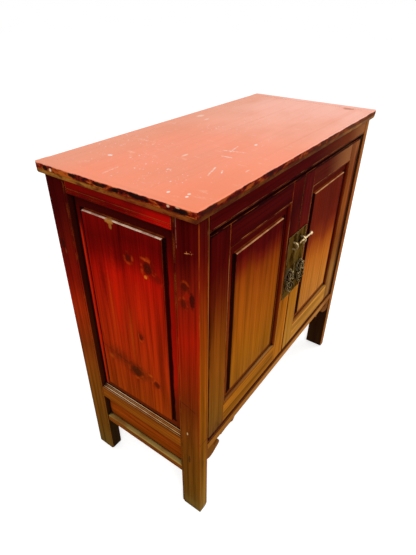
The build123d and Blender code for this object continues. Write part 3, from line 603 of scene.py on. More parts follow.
# Painted shade and grime on the doors' faces, beside the posts, at the head and the foot and
# where they meet.
POST_SHADE_AND_GRIME = (0.3628, 0.3645)
HEAD_SHADE_AND_GRIME = (0.7885, 0.7905)
FOOT_SHADE_AND_GRIME = (0.2655, 0.2635)
MEETING_SHADE_AND_GRIME = (0.0042, 0.0028)
# Lines round the opening, outwards from its edge.
OPENING_SHADE_AND_GRIME = (0.0014, 0.0006)
DOOR_BEAD = (0.0008, 0.0054)
BEAD_LINE = (0.0052, 0.0066)


def door_edges(f, tone):
    """The door frames: redder edges, a golden top rail and, with painted shade, a darker outer
    stile on the right door, a dark bead with a pale line beside it round the opening, a painted
    highlight on the upward ledge under it, and painted shade and grime along the meeting edges,
    the posts and the rails."""
    x, y, z = f.xyz
    edgewise = f.remap(f.unsigned(f.axis("Y", f.normal)), 0.75, 0.4)
    facewise = f.minus(1.0, edgewise)
    red = f.mix((96, 12, 6), (122, 44, 12), f.remap(z, 0.36, 0.30))
    tone = f.mix(tone, red, edgewise, 0.85)
    out_x = f.unsigned(x)
    drift = f.wobble(30, 0.004, detail=3, shift=8.0)
    above_opening = f.remap(z, OPENING_TOP - 0.002, OPENING_TOP + 0.004)
    golden = f.times(f.remap(x, 0.12, 0.30), above_opening, 0.8, f.remap(x, 0.301, 0.299))
    tone = f.mix(tone, (152, 94, 54), golden)
    # Painted shade on the right door's outer stile, beside the post.
    outer = f.times(f.remap(f.plus(x, drift), 0.342, 0.349), f.remap(z, 0.78, 0.74), 0.75)
    tone = f.mix(tone, (64, 12, 5), outer)
    # Painted shade and grime along the posts, the head and the foot.
    rims = f.larger(f.remap(f.plus(out_x, drift), *POST_SHADE_AND_GRIME), f.remap(z, *FOOT_SHADE_AND_GRIME))
    rims = f.larger(rims, f.remap(f.plus(z, drift), *HEAD_SHADE_AND_GRIME))
    across = f.minus(f.unsigned(f.minus(out_x, OPENING_MIDDLE)), OPENING_REACH)
    upright = f.larger(f.minus(z, OPENING_TOP), f.minus(OPENING_LOW, z))
    inset = f.larger(across, upright)
    bead = f.times(f.band(inset, *DOOR_BEAD, 0.0006), f.remap(z, 0.33, 0.40, 0.35, 0.8))
    tone = f.mix(tone, (88, 26, 6), bead, facewise)
    worn = f.patches(20, 0.40, 0.58, 0.0, 0.75, detail=4, shift=6.0)
    tone = f.mix(tone, (178, 112, 62), f.band(inset, *BEAD_LINE, 0.0005), worn)
    toward_right = f.minus(x, f.times(f.calc("SIGN", x), OPENING_MIDDLE))
    # A painted highlight on the upward face of the ledge under the opening.
    facing_up = f.remap(f.axis("Z", f.normal), 0.6, 0.85)
    lit_ledge = f.times(facing_up, f.band(z, OPENING_LOW - 0.006, OPENING_LOW + 0.004, 0.002))
    lit_ledge = f.times(lit_ledge, f.remap(toward_right, -0.08, 0.10, 0.35, 0.9))
    tone = f.mix(tone, (176, 122, 62), lit_ledge)
    # Painted shade and grime where the doors meet and round the opening.
    meeting = f.larger(f.remap(out_x, *MEETING_SHADE_AND_GRIME), f.remap(inset, *OPENING_SHADE_AND_GRIME))
    return f.mix(tone, SHADE_AND_DIRT, f.larger(rims, meeting), facewise, 0.92)


# Heights on the front top rail.
RAIL_FOOT = (0.7995, 0.8050)
RAIL_FOOT_LINE = (0.8062, 0.8082)


def rail_fade(f, tone):
    """The front top rail is browner towards its right-hand end, and black with painted shade and
    dirt along its foot, with a rubbed line just above."""
    x, _, z = f.xyz
    tone = f.mix(tone, (118, 56, 24), f.remap(x, 0.0, 0.36, 0.0, 0.75))
    tone = f.mix(tone, (150, 96, 56), f.remap(x, 0.24, 0.37, 0.0, 0.7))
    # Painted shade and dirt along the foot, in the gap over the doors.
    tone = f.mix(tone, SHADE_AND_DIRT, f.band(z, *RAIL_FOOT, 0.001), 0.9)
    worn = f.patches(22, 0.42, 0.6, 0.0, 0.7, detail=3, shift=3.0)
    return f.mix(tone, (150, 92, 56), f.band(z, *RAIL_FOOT_LINE, 0.0006), worn)


MID_REEDS = (0.387, 0.4009)  # from the foot of the innermost reed to the rail's face
REED_HEIGHTS = (0.2632, 0.2732)
REED_COUNT = 4
# Heights on the side top rails.
TOP_RAIL_FOOT = (0.79, 0.80)
TOP_RAIL_HEAD = (0.832, 0.822)
SCRIBED_LINE = (0.8132, 0.8146)


def reed_lines(f, tone):
    """Cream painted highlights, partly rubbing, on the crowns of the mid rails' reeds, every
    other reed paler, painted shade in their hollows, and a red glow with a scribed line along the
    top rails."""
    _, y, z = f.xyz
    inner, outer = MID_REEDS
    across = f.calc("DIVIDE", f.minus(f.unsigned(f.axis("X")), inner), outer - inner)
    reeded = f.times(f.band(z, *REED_HEIGHTS, 0.0006), f.remap(across, 1.06, 1.0))
    from_crown = f.unsigned(f.minus(f.calc("FRACT", f.times(across, REED_COUNT)), 0.5))
    pair = f.calc("FRACT", f.times(across, REED_COUNT / 2))
    # Painted highlights, partly rubbing, on the reeds' crowns.
    lit_crown = f.times(f.remap(from_crown, 0.36, 0.20), f.remap(pair, 0.48, 0.52, 1.0, 0.25))
    worn = f.patches(24, 0.36, 0.56, 0.45, 0.95, detail=3, shift=4.0)
    pale = f.mix((206, 168, 112), (228, 202, 160), f.remap(y, -0.10, 0.12))
    tone = f.mix(tone, pale, reeded, lit_crown, worn)
    # Painted shade in the reeds' hollows.
    shaded_hollow = f.remap(from_crown, 0.36, 0.44)
    tone = f.mix(tone, (40, 14, 6), reeded, shaded_hollow, 0.92)
    toward_front = f.remap(y, 0.09, -0.12, 0.1, 0.85)
    glow = f.times(f.remap(z, *TOP_RAIL_FOOT), toward_front, f.remap(z, *TOP_RAIL_HEAD))
    clouded = f.patches((9, 9, 34), 0.34, 0.60, 0.25, 1.0, detail=3, shift=5.0)
    tone = f.mix(tone, (182, 12, 6), glow, clouded)
    broken = f.patches(22, 0.36, 0.55, 0.2, 0.8, detail=3)
    return f.mix(tone, (150, 74, 30), f.band(z, *SCRIBED_LINE, 0.0005), broken)


SIDE_FIELD_X = -0.395
SIDE_KNOTS = on_side(SIDE_FIELD_X, (
    ((-0.006, 0.708), (0.008, 0.009), 0.75),
    ((-0.054, 0.701), (0.011, 0.014), 0.95),
    ((-0.079, 0.686), (0.008, 0.010), 0.45),
    ((-0.019, 0.517), (0.006, 0.009), 0.95),
    ((0.007, 0.400), (0.016, 0.016), 0.95),
    ((-0.054, 0.392), (0.009, 0.010), 0.8),
)) + on_side(-SIDE_FIELD_X, (
    ((0.030, 0.640), (0.010, 0.013), 0.9),
    ((-0.045, 0.585), (0.007, 0.009), 0.7),
    ((0.058, 0.430), (0.012, 0.014), 0.9),
    ((-0.020, 0.352), (0.008, 0.009), 0.8),
))
SIDE_MARKS = on_side(-SIDE_FIELD_X, (
    ((-0.030, 0.620), (0.012, 0.130), (112, 12, 4), 0.5),
    ((0.050, 0.520), (0.010, 0.120), (188, 60, 8), 0.45),
    ((0.004, 0.460), (0.050, 0.040), (90, 26, 6), 0.45),
)) + on_side(SIDE_FIELD_X, (
    ((0.036, 0.772), (0.014, 0.006), (168, 108, 44), 0.95),
    ((0.033, 0.763), (0.005, 0.008), (150, 92, 34), 0.9),
    ((-0.046, 0.720), (0.012, 0.005), (196, 70, 16), 0.6),
    ((-0.048, 0.680), (0.005, 0.005), (214, 112, 30), 0.8),
    ((-0.037, 0.411), (0.011, 0.006), (200, 88, 18), 0.6),
    ((0.087, 0.404), (0.013, 0.012), (186, 80, 20), 0.6),
    ((0.060, 0.420), (0.060, 0.040), (80, 26, 6), 0.6),
    ((0.000, 0.400), (0.060, 0.030), (76, 30, 6), 0.6),
    ((0.040, 0.600), (0.012, 0.140), (206, 30, 4), 0.6),
    ((-0.020, 0.590), (0.010, 0.100), (200, 38, 6), 0.55),
    ((0.060, 0.560), (0.006, 0.120), (190, 60, 8), 0.5),
    ((0.008, 0.500), (0.008, 0.110), (176, 66, 10), 0.5),
    ((0.075, 0.640), (0.014, 0.110), (96, 8, 3), 0.6),
    ((0.010, 0.700), (0.010, 0.060), (96, 6, 3), 0.6),
    ((-0.075, 0.520), (0.012, 0.120), (108, 20, 4), 0.35),
    ((0.022, 0.500), (0.006, 0.150), (104, 24, 5), 0.5),
    ((0.085, 0.720), (0.018, 0.040), (92, 6, 3), 0.5),
    ((0.113, 0.432), (0.033, 0.413), 0.003, (60, 16, 6), 0.85),
))
SIDE_MARGIN_TONES = stops(
    (0.27, (84, 30, 8)),
    (0.36, (112, 28, 7)),
    (0.44, (180, 22, 7)),
    (0.56, (160, 14, 5)),
    (0.68, (140, 14, 5)),
    (0.75, (84, 7, 4)),
    (0.79, (48, 6, 4)),
)
LEFT_MARGIN_TONES = stops(
    (0.33, (100, 40, 12)),
    (0.45, (124, 48, 11)),
    (0.56, (126, 36, 8)),
    (0.66, (90, 12, 6)),
    (0.70, (84, 9, 5)),
)
RIGHT_MARGIN_TONES = stops(
    (0.33, (118, 46, 14)),
    (0.45, (108, 32, 10)),
    (0.70, (98, 24, 8)),
)

# The side panel's raised field.
SIDE_FIELD_REACH = 0.1018
SIDE_FIELD_HEIGHTS = (0.2990, 0.7748)
# Along the panel's rear edge, in y, and along its foot, in z.
REAR_GLINT = (0.1290, 0.1335)
REAR_RIM = (0.1345, 0.1355)
LOWER_RIM = (0.2752, 0.2738)


def side_panel_detail(f, tone):
    """The side panel's raised field and knots, a red glint along its rear margin, and painted
    shade and grime against the rear post and the mid rail."""
    lines = field_lines(
        "Y", "X", face=-SIDE_FIELD_X, middle=BODY_MIDDLE_Y, reach=SIDE_FIELD_REACH,
        heights=SIDE_FIELD_HEIGHTS, margin=SIDE_MARGIN_TONES, grime_and_shade=(0.005, 0.014, 0.006),
        highlight_tone=PALE_ARRIS_HIGHLIGHT, rim_depth=0.0040,
    )
    tone = lines(f, tone)
    _, y, z = f.xyz
    glint = f.times(f.band(y, *REAR_GLINT, 0.0012), f.remap(z, 0.75, 0.70), 0.9)
    tone = f.mix(tone, (206, 44, 14), glint)
    # Painted shade and grime against the rear post and the mid rail.
    rims = f.larger(f.remap(y, *REAR_RIM), f.remap(z, *LOWER_RIM))
    tone = f.mix(tone, SHADE_AND_DIRT, rims, 0.9)
    return add_knots(f, tone, SIDE_KNOTS)


POST_X = -0.4015
POST_MARKS = on_side(POST_X, (
    ((-0.147, 0.770), (-0.166, 0.775), 0.0022, (198, 122, 62), 0.85),
    ((-0.152, 0.7745), (-0.153, 0.7700), 0.0018, (198, 122, 62), 0.8),
    ((-0.160, 0.7770), (-0.162, 0.7725), 0.0018, (198, 122, 62), 0.8),
    ((-0.151, 0.684), (0.007, 0.012), (150, 24, 6), 0.65),
    ((-0.162, 0.678), (0.007, 0.022), (34, 10, 6), 0.8),
    ((-0.130, 0.395), (-0.166, 0.384), 0.004, (58, 22, 8), 0.8),
    ((-0.143, 0.297), (0.0025, 0.006), (196, 160, 110), 0.9),
    ((-0.147, 0.205), (0.004, 0.016), (60, 34, 14), 0.7),
    ((-0.131, 0.830), (-0.131, 0.775), 0.002, (130, 92, 70), 0.7),
    ((0.182, 0.681), (0.007, 0.016), (40, 12, 6), 0.7),
    ((0.176, 0.664), (0.004, 0.010), (120, 60, 30), 0.6),
)) + (
    ((POST_X, -0.150, 0.020), (0.03, 0.05, 0.03), (122, 94, 40), 0.4),
    ((-0.3765, -0.178, 0.808), (0.004, 0.02, 0.010), (128, 82, 40), 0.6),
    ((-0.3768, -0.178, 0.812), (-0.3770, -0.178, 0.764), 0.003, (120, 72, 34), 0.45),
    ((-0.3900, -0.178, 0.200), (0.003, 0.02, 0.018), (84, 50, 18), 0.65),
    ((0.3840, -0.178, 0.480), (0.010, 0.02, 0.024), (98, 40, 8), 0.75),
)
POST_KNOTS = on_side(POST_X, (
    ((-0.145, 0.702), (0.007, 0.009), 0.6),
    ((-0.142, 0.664), (0.007, 0.010), 0.6),
))

FRONT_FACE_Y = -0.175
CORNER_Y = (-0.1762, -0.1774)
CORNER_X = (0.4000, 0.4010)
POST_GROOVE = (0.3734, 0.3722)
POST_BEAD = (0.3738, 0.3764)
PANEL_BACK_X = (0.3805, 0.3785)  # nearer the middle, a post is inside the cabinet
FLOOR_HEIGHTS = (0.225, 0.27)  # there a post has painted shadow below the floor boards, and bare wood above


def post_detail(f, tone):
    """The posts: darker at the rear with painted shade, bare wood or painted shadow on their
    inner faces, a golden front on the right one, a black groove of painted shade and dirt and a
    bead, rubbed and with a painted highlight, beside the doors, and a rubbed outer corner."""
    tone = add_knots(f, tone, POST_KNOTS)
    x, y, z = f.xyz
    out_x = f.unsigned(x)
    # Painted shade, darker high on the rear posts.
    rear = f.times(f.remap(y, -0.05, 0.05), f.remap(z, 0.50, 0.62), 0.6)
    tone = f.mix(tone, (52, 4, 3), rear)
    # Inner faces: painted shadow below the floor boards and beside the panels, bare wood above.
    inward_x = f.remap(f.times(f.axis("X", f.normal), f.calc("SIGN", x)), -0.4, -0.7)
    inward_y = f.remap(f.times(f.axis("Y", f.normal), f.calc("SIGN", y)), -0.4, -0.7)
    above_floor = f.remap(z, *FLOOR_HEIGHTS)
    inside = f.mix((30, 10, 8), BARE_INSIDE, above_floor)
    tone = f.mix(tone, inside, inward_x, 0.9)
    shadow_beside_panel = f.mix((26, 13, 6), (46, 9, 5), f.remap(z, 0.14, 0.30))
    enclosed = f.times(f.remap(out_x, *PANEL_BACK_X), above_floor)
    inside = f.mix(shadow_beside_panel, BARE_INSIDE, enclosed)
    tone = f.mix(tone, inside, inward_y, 0.95)
    front = f.remap(y, FRONT_FACE_Y + 0.001, FRONT_FACE_Y - 0.001)
    clouded = f.patches((14, 14, 5), 0.3, 0.6, 0.45, 0.85, detail=3)
    beyond_bead = f.remap(x, 0.375, 0.381, 0.3, 1.0)
    golden = f.times(front, f.remap(x, 0.2, 0.3), clouded, beyond_bead)
    tone = f.mix(tone, (162, 98, 42), golden)
    # Painted shade and dirt in the groove beside the doors.
    tone = f.mix(tone, SHADE_AND_DIRT, front, f.remap(out_x, *POST_GROOVE), 0.92)
    # A painted highlight, partly rubbing, on the bead beside the doors.
    bead = f.times(front, f.band(out_x, *POST_BEAD, 0.0004), f.remap(z, 0.80, 0.70, 0.25, 0.7))
    tone = f.mix(tone, (168, 94, 36), bead)
    corner = f.times(f.remap(y, *CORNER_Y), f.remap(out_x, *CORNER_X))
    worn = f.patches(16, 0.42, 0.58, 0.1, 0.7, detail=4, shift=7.0)
    return f.mix(tone, (168, 70, 18), corner, worn)


STRETCHER_TOP = (0.1490, 0.1505)


def stretcher_detail(f, tone):
    """The stretcher's top is rubbed down to pale wood."""
    rubbed = f.patches((60, 14, 60), 0.36, 0.56, 0.3, 0.95, detail=4, roughness=0.65)
    return f.mix(tone, (156, 130, 70), f.remap(f.axis("Z"), *STRETCHER_TOP), rubbed)


TOP_WHITE = (250, 240, 232)
TOP_PALE = (252, 206, 184)
TOP_GREY = (186, 128, 92)
TOP_MARKS = on_top((
    ((-0.404, 0.042), (0.011, 0.012), TOP_WHITE, 0.95),
    ((-0.404, 0.042), (-0.349, 0.045), 0.0040, TOP_PALE, 0.9),
    ((-0.392, 0.102), (0.006, 0.006), TOP_WHITE, 0.9),
    ((-0.309, 0.107), (0.005, 0.007), TOP_WHITE, 0.8),
    ((-0.208, 0.170), (0.010, 0.004), TOP_PALE, 0.8),
    ((-0.389, 0.022), (0.004, 0.004), TOP_WHITE, 0.8),
    ((-0.397, -0.007), (0.003, 0.003), TOP_WHITE, 0.8),
    ((-0.384, -0.104), (0.005, 0.003), TOP_WHITE, 0.8),
    ((-0.382, -0.140), (0.004, 0.003), TOP_WHITE, 0.9),
    ((-0.371, -0.136), (0.004, 0.003), TOP_WHITE, 0.8),
    ((-0.221, -0.010), (0.012, 0.004), TOP_PALE, 0.8),
    ((-0.225, -0.156), (0.010, 0.003), TOP_PALE, 0.8),
    ((-0.078, -0.087), (0.006, 0.004), TOP_WHITE, 0.8),
    ((-0.285, -0.111), (-0.243, -0.098), 0.0035, TOP_WHITE, 0.8),
    ((-0.262, -0.124), (-0.250, -0.118), 0.0035, TOP_WHITE, 0.8),
    ((-0.151, -0.048), (-0.137, -0.099), 0.0040, TOP_WHITE, 0.75),
    ((-0.182, -0.071), (-0.180, -0.094), 0.0040, TOP_WHITE, 0.8),
    ((-0.150, -0.070), (-0.110, -0.062), 0.0035, TOP_WHITE, 0.7),
    ((0.060, 0.160), (0.016, 0.010), TOP_PALE, 0.85),
    ((0.040, 0.125), (0.012, 0.005), TOP_PALE, 0.8),
    ((-0.041, 0.166), (0.010, 0.004), TOP_PALE, 0.8),
    ((-0.406, -0.018), (-0.403, -0.065), 0.0025, TOP_GREY, 0.8),
    ((-0.403, -0.105), (-0.400, -0.150), 0.0025, TOP_GREY, 0.8),
    ((-0.399, -0.158), (-0.330, -0.160), 0.0030, TOP_PALE, 0.8),
    ((0.380, -0.120), (0.020, 0.020), (190, 110, 80), 0.7),
    ((0.300, 0.140), (0.060, 0.020), (238, 160, 130), 0.6),
))


TOP_HALF_WIDTH = 0.42
# The top's tones across its width, paler to the right with a painted sheen.
TOP_TONES_AND_SHEEN = (
    (0.0, (252, 150, 117)),
    (0.35, (254, 157, 126)),
    (0.6, (254, 174, 148)),
    (1.0, (255, 188, 168)),
)


def top_tone(f, grain):
    """The top's salmon lacquer: paler to the right, a painted sheen, redder at the near left
    corner, clouded, flecked and scuffed."""
    x, y, _ = f.xyz
    # Paler to the right: a painted sheen.
    tone = f.ramp(f.remap(x, -TOP_HALF_WIDTH, TOP_HALF_WIDTH), TOP_TONES_AND_SHEEN)
    tone = f.mix(tone, (240, 162, 132), f.remap(y, 0.06, 0.18, 0.0, 0.75))
    toward_front = f.remap(y, -0.06, -0.17, 0.0, 0.6)
    tone = f.mix(tone, (246, 136, 96), toward_front, f.remap(x, -0.16, -0.36))
    cloud = f.patches((5, 9, 4), 0.42, 0.72, 0.0, 0.45, detail=4, own=False)
    tone = f.mix(tone, (238, 152, 122), cloud)
    streak = f.remap(f.drawn(GRAIN, grain, detail=3), 0.48, 0.8, 0.0, 0.35)
    tone = f.mix(tone, (236, 138, 106), streak)
    scuff = f.patches(
        (70, 20, 70), 0.60, 0.70, 0.0, 0.35, detail=4, roughness=0.7, own=False, shift=4.0
    )
    tone = f.mix(tone, (255, 196, 172), scuff)
    speck = f.patches(210, 0.70, 0.75, detail=1, own=False)
    rare = f.patches(9, 0.5, 0.62, detail=2, own=False, shift=6.0)
    return f.mix(tone, TOP_WHITE, speck, rare, 0.85)


def top_lacquer(name, grain):
    """The top boards' lacquer, which hides the joints between them."""
    f = Finish(name)
    tone = paint_marks(f, top_tone(f, grain), TOP_MARKS)
    f.bump(f.drawn(GRAIN, grain, detail=3, shift=1.0), strength=0.12, distance=0.0005)
    roughness = f.patches((6, 14, 6), 0.3, 0.7, 0.38, 0.52, detail=4, own=False)
    return f.finish(tone, roughness, TOP_GLOSS)


EDGE_X = -0.417
EDGE_MARKS = on_side(EDGE_X, depth=0.03, marks=(
    ((0.166, 0.852), (0.010, 0.006), (16, 5, 4), 0.95),
    ((0.151, 0.851), (0.004, 0.004), (226, 196, 160), 0.9),
    ((0.090, 0.854), (0.016, 0.005), (18, 6, 4), 0.95),
    ((0.020, 0.853), (0.022, 0.005), (16, 5, 4), 0.95),
    ((-0.018, 0.853), (0.010, 0.006), (14, 5, 4), 0.95),
    ((-0.064, 0.854), (0.026, 0.006), (18, 6, 4), 0.95),
    ((-0.131, 0.855), (0.004, 0.003), (214, 176, 140), 0.85),
    ((-0.160, 0.853), (0.014, 0.006), (14, 6, 8), 0.95),
    ((-0.150, 0.857), (0.006, 0.002), (210, 160, 120), 0.85),
    ((-0.010, 0.859), (0.018, 0.003), (196, 96, 36), 0.9),
)) + (
    ((-0.4175, -0.184, 0.860), (-0.398, -0.166, 0.860), 0.004, (206, 160, 124), 0.8),
    ((-0.388, -0.186, 0.853), (0.030, 0.03, 0.0055), (36, 8, 6), 0.9),
)
EDGE_BAND_TONES = (
    (0.0, (14, 4, 4)),
    (0.38, (24, 5, 4)),
    (0.45, (70, 8, 4)),
    (0.53, (118, 22, 5)),
    (0.60, (168, 78, 20)),
)
OVOLO_TOP = (0.8485, 0.8465)  # heights
FACE_FOOT = (0.8572, 0.8590)


def edge_lacquer(name, grain, chipped=1.0):
    """The top's edge: salmon face, dark band, chipped to this share, and ochre ovolo."""
    f = Finish(name)
    x, y, z = f.xyz
    chip = f.noise((34, 34, 80), detail=4, roughness=0.66)
    band = f.mix(f.ramp(chip, EDGE_BAND_TONES), (66, 10, 5), 1.0 - chipped)
    toward_right = f.remap(x, -0.2, 0.42)
    band = f.mix(band, (104, 58, 30), toward_right, 0.7)
    ovolo = f.mix((88, 42, 8), (156, 98, 30), f.remap(chip, 0.36, 0.62))
    ovolo = f.mix(ovolo, (144, 102, 66), toward_right, 0.5)
    reddened = f.times(f.remap(x, -0.400, -0.406), f.remap(y, 0.06, -0.02), 0.6)
    ovolo = f.mix(ovolo, (108, 18, 5), reddened)
    front = f.times(f.remap(y, -0.165, -0.18), f.remap(x, 0.30, 0.0), 0.75)
    ovolo = f.mix(ovolo, (66, 22, 7), front)
    below = f.remap(f.plus(z, f.remap(chip, 0.3, 0.7, -0.001, 0.001)), *OVOLO_TOP)
    tone = paint_marks(f, f.mix(band, ovolo, below), EDGE_MARKS)
    face = f.remap(f.plus(z, f.remap(chip, 0.35, 0.65, -0.0007, 0.0006)), *FACE_FOOT)
    tone = f.mix(tone, top_tone(f, grain), face)
    # Painted shade and dirt in the hollows.
    tone = f.mix(tone, SHADE_AND_DIRT, f.remap(f.openness(0.008), 0.8, 0.45), 0.9)
    f.bump(chip, strength=0.35, distance=0.001)
    return f.finish(tone, f.remap(face, 0.0, 1.0, 0.85, 0.45), TOP_GLOSS)


def bare_wood(name, grain):
    """Old unlacquered wood, as on the back and inside."""
    f = Finish(name)
    broad = f.drawn(BROAD, grain, detail=3, distortion=0.6)
    grained = f.drawn(GRAIN, grain, detail=5, roughness=0.62)
    tone = f.mix((112, 80, 48), (160, 122, 80), f.remap(broad, 0.3, 0.7))
    rings = ring_lines(f, grain, count=16.0, distortion=0.4, low=0.4, high=0.9)
    tone = f.mix(tone, (86, 56, 32), rings, 0.5)
    tone = f.mix(tone, (84, 58, 36), f.remap(grained, 0.4, 0.75, 0.0, 0.5))
    # Painted shade and dirt in the corners and recesses.
    tone = f.mix(tone, (40, 28, 20), f.remap(f.openness(0.02), 0.8, 0.3), 0.6)
    f.bump(grained, strength=0.35, distance=0.001)
    return f.finish(tone, roughness=0.75, specular=0.15)


def aged_brass(name, low, high, bright, grime_and_shade=0.85, rim=0.0012):
    """Aged brass, streaked from low to high, bright with painted highlights on the rubbed
    arrises, and dark in the recesses with grime and painted shade."""
    f = Finish(name)
    patch = f.noise((60, 60, 24), detail=4)
    fine = f.noise(420, detail=3)
    tone = f.mix(low, high, f.remap(patch, 0.38, 0.62))
    tone = f.mix(tone, (38, 26, 10), f.remap(fine, 0.55, 0.8, 0.0, 0.4))
    open_ = f.openness(0.004)
    # Grime with painted shade in the recesses.
    tone = f.mix(tone, (12, 7, 5), f.remap(open_, 0.8, 0.4, 0.0, grime_and_shade))
    proud = f.remap(open_, 0.45, 0.8)
    # Painted highlights on the rubbed arrises.
    arris = f.times(f.edge(rim), proud, f.remap(patch, 0.3, 0.5, 0.5, 1.0))
    tone = f.mix(tone, (240, 214, 166), arris, bright)
    f.bump(fine, strength=0.25, distance=0.0005)
    f.bsdf.inputs["Specular Tint"].default_value = srgb(120, 104, 70)
    return f.finish(tone, f.remap(fine, 0.3, 0.7, 0.36, 0.52), specular=0.5, metallic=1.0)


# ---- the material of each piece -----------------------------------------------------------
BARE_PIECES = {
    "X": (
        "rear_top_rail", "rear_bottom_rail", "floor_board_front", "floor_board_rear", "shelf",
    ),
    "Y": (
        "floor_bearer_left", "floor_bearer_right", "shelf_bearer_left", "shelf_bearer_right",
        "top_batten_left", "top_batten_right",
    ),
    "Z": ("back_board_left", "back_board_middle", "back_board_right"),
}
brass_plate = aged_brass("aged brass plate", (72, 55, 24), (114, 94, 50), bright=0.7)
boss_brass = aged_brass("aged brass boss", (34, 25, 11), (74, 60, 30), bright=0.95, rim=0.0018)
brass_work = aged_brass("aged brass work", (28, 20, 10), (84, 70, 38), bright=1.0, rim=0.0018)
loop_brass = aged_brass("lock loop brass", (120, 104, 70), (196, 176, 134), bright=0.9, grime_and_shade=0.6)
pin_brass = aged_brass("lock pin brass", (186, 158, 112), (232, 208, 168), bright=0.9, grime_and_shade=0.3)
BRASS = (brass_plate, boss_brass, brass_work, loop_brass, pin_brass)

post_lacquer = lacquer(
    "post lacquer", "Z", POST_FRONT, POST_SIDE, detail=post_detail, marks=POST_MARKS
)
side_rail = lacquer("side rail lacquer", "Y", SIDE_RAIL, detail=reed_lines, inner="X")
stretcher = lacquer("stretcher lacquer", "Y", SIDE_RAIL, detail=stretcher_detail)
side_panel = lacquer(
    "side panel lacquer", "Z", SIDE_PANEL, detail=side_panel_detail, marks=SIDE_MARKS, wear_and_highlight=0.3,
    inner="X",
)
lower_panel = lacquer("lower panel lacquer", "Y", SIDE_PANEL, wear_and_highlight=0.3, inner="X")
bottom_lacquer = lacquer(
    "bottom rail and apron lacquer", "X", FRONT_RAIL, detail=cove_and_band, inner="Y"
)
top_x = top_lacquer("top lacquer", "X")

MATERIALS = {
    "front_top_rail": lacquer(
        "front top rail lacquer", "X", FRONT_RAIL, detail=rail_fade, inner="Y"
    ),
    "front_bottom_rail": bottom_lacquer,
    "front_apron": bottom_lacquer,
    "top_front_edge": edge_lacquer("edge lacquer of the front", "X", chipped=0.6),
    "top_rear_edge": edge_lacquer("edge lacquer of the rear", "X", chipped=0.35),
    "top_left_edge": edge_lacquer("edge lacquer, grain along y", "Y"),
    "top_right_edge": edge_lacquer("edge lacquer of the right", "Y", chipped=0.8),
    "top_board_front": top_x,
    "top_board_middle": top_x,
    "top_board_rear": top_x,
    "lock_pin": pin_brass,
}
for grain, names in BARE_PIECES.items():
    bare = bare_wood(f"bare wood, grain along {grain.lower()}", grain)
    MATERIALS |= dict.fromkeys(names, bare)

DOOR_TONES = {
    "left": (LEFT_HINGE_STILE, LEFT_LOCK_STILE, LEFT_DOOR_RAIL, LEFT_FIELD, LEFT_MARGIN_TONES),
    "right": (
        RIGHT_HINGE_STILE, RIGHT_LOCK_STILE, RIGHT_DOOR_RAIL, RIGHT_FIELD, RIGHT_MARGIN_TONES
    ),
}
# A door panel's raised field, in the middle of the frame's opening.
DOOR_FIELD_REACH = 0.0966
DOOR_FIELD_HEIGHTS = (0.351, 0.718)
DOOR_FIELD_FACE = 0.173  # before the frame's origin
# The camera looks past the field, which hides the near part of the recess on its
# right. The painted shade and grime there are as wide as they have to be to show.
FAR_SHADE_AND_GRIME = {"left": 0.018, "right": 0.0205}
FAR_BITE = {"left": 0.0, "right": 0.004}

for side, facing in (("left", -1), ("right", 1)):
    hinge_tones, lock_tones, rail_tones, field_tones, margin = DOOR_TONES[side]
    hinge = lacquer(f"{side} hinge stile lacquer", "Z", hinge_tones, detail=door_edges, inner="Y")
    lock = lacquer(f"{side} lock stile lacquer", "Z", lock_tones, detail=door_edges, inner="Y")
    rail = lacquer(f"{side} door rail lacquer", "X", rail_tones, detail=door_edges, inner="Y")
    lines = field_lines(
        "X", "Y", face=DOOR_FIELD_FACE, middle=facing * OPENING_MIDDLE, reach=DOOR_FIELD_REACH,
        heights=DOOR_FIELD_HEIGHTS, margin=margin, grime_and_shade=(0.0065, FAR_SHADE_AND_GRIME[side], 0.013),
        highlight_tone=TAN_ARRIS_HIGHLIGHT, rim_depth=0.0030, bite=FAR_BITE[side],
    )
    field = lacquer(
        f"{side} door panel lacquer", "Z", field_tones, detail=lines, wear_and_highlight=0.4, figure=0.75,
        inner="Y",
    )
    MATERIALS |= {
        f"front_{side}_post": post_lacquer,
        f"rear_{side}_post": post_lacquer,
        f"{side}_side_top_rail": side_rail,
        f"{side}_side_mid_rail": side_rail,
        f"{side}_side_stretcher": stretcher,
        f"{side}_side_panel": side_panel,
        f"{side}_lower_panel": lower_panel,
        f"{side}_door_hinge_stile": hinge,
        f"{side}_door_lock_stile": lock,
        f"{side}_door_top_rail": rail,
        f"{side}_door_bottom_rail": rail,
        f"{side}_door_panel": field,
        f"{side}_lock_plate": brass_plate,
        f"{side}_lock_loop": loop_brass,
        f"{side}_pull_boss": boss_brass,
        f"{side}_pull_eye": brass_work,
        f"{side}_pull": brass_work,
    }

WELD_DISTANCE = 1e-5
SOFT_ARRIS = 0.0007
ARRIS_ANGLE = math.radians(40)
for name, node in nodes.items():
    material = MATERIALS[name]
    node.data.materials.clear()
    node.data.materials.append(material)
    weld = node.modifiers.new("weld", "WELD")
    weld.merge_threshold = WELD_DISTANCE
    if material not in BRASS:
        bevel = node.modifiers.new("soft arris", "BEVEL")
        bevel.width = SOFT_ARRIS
        bevel.segments = 2
        bevel.limit_method = "ANGLE"
        bevel.angle_limit = ARRIS_ANGLE

# ---- camera, fitted to the photograph -----------------------------------------------------
PICTURE_HEIGHT = 555  # pixels
FOCAL = 423.486  # in the same pixels
SENSOR = 36  # millimetres
AZIMUTH = math.radians(-54.76708)  # of the camera, from the front; negative is to the left
ELEVATION = math.radians(33.67991)
ROLL = math.radians(0.57212)
CAMERA_PLACE = Vector((-0.866189, -0.532648 + BODY_MIDDLE_Y, 1.120956))
FARTHEST = 60

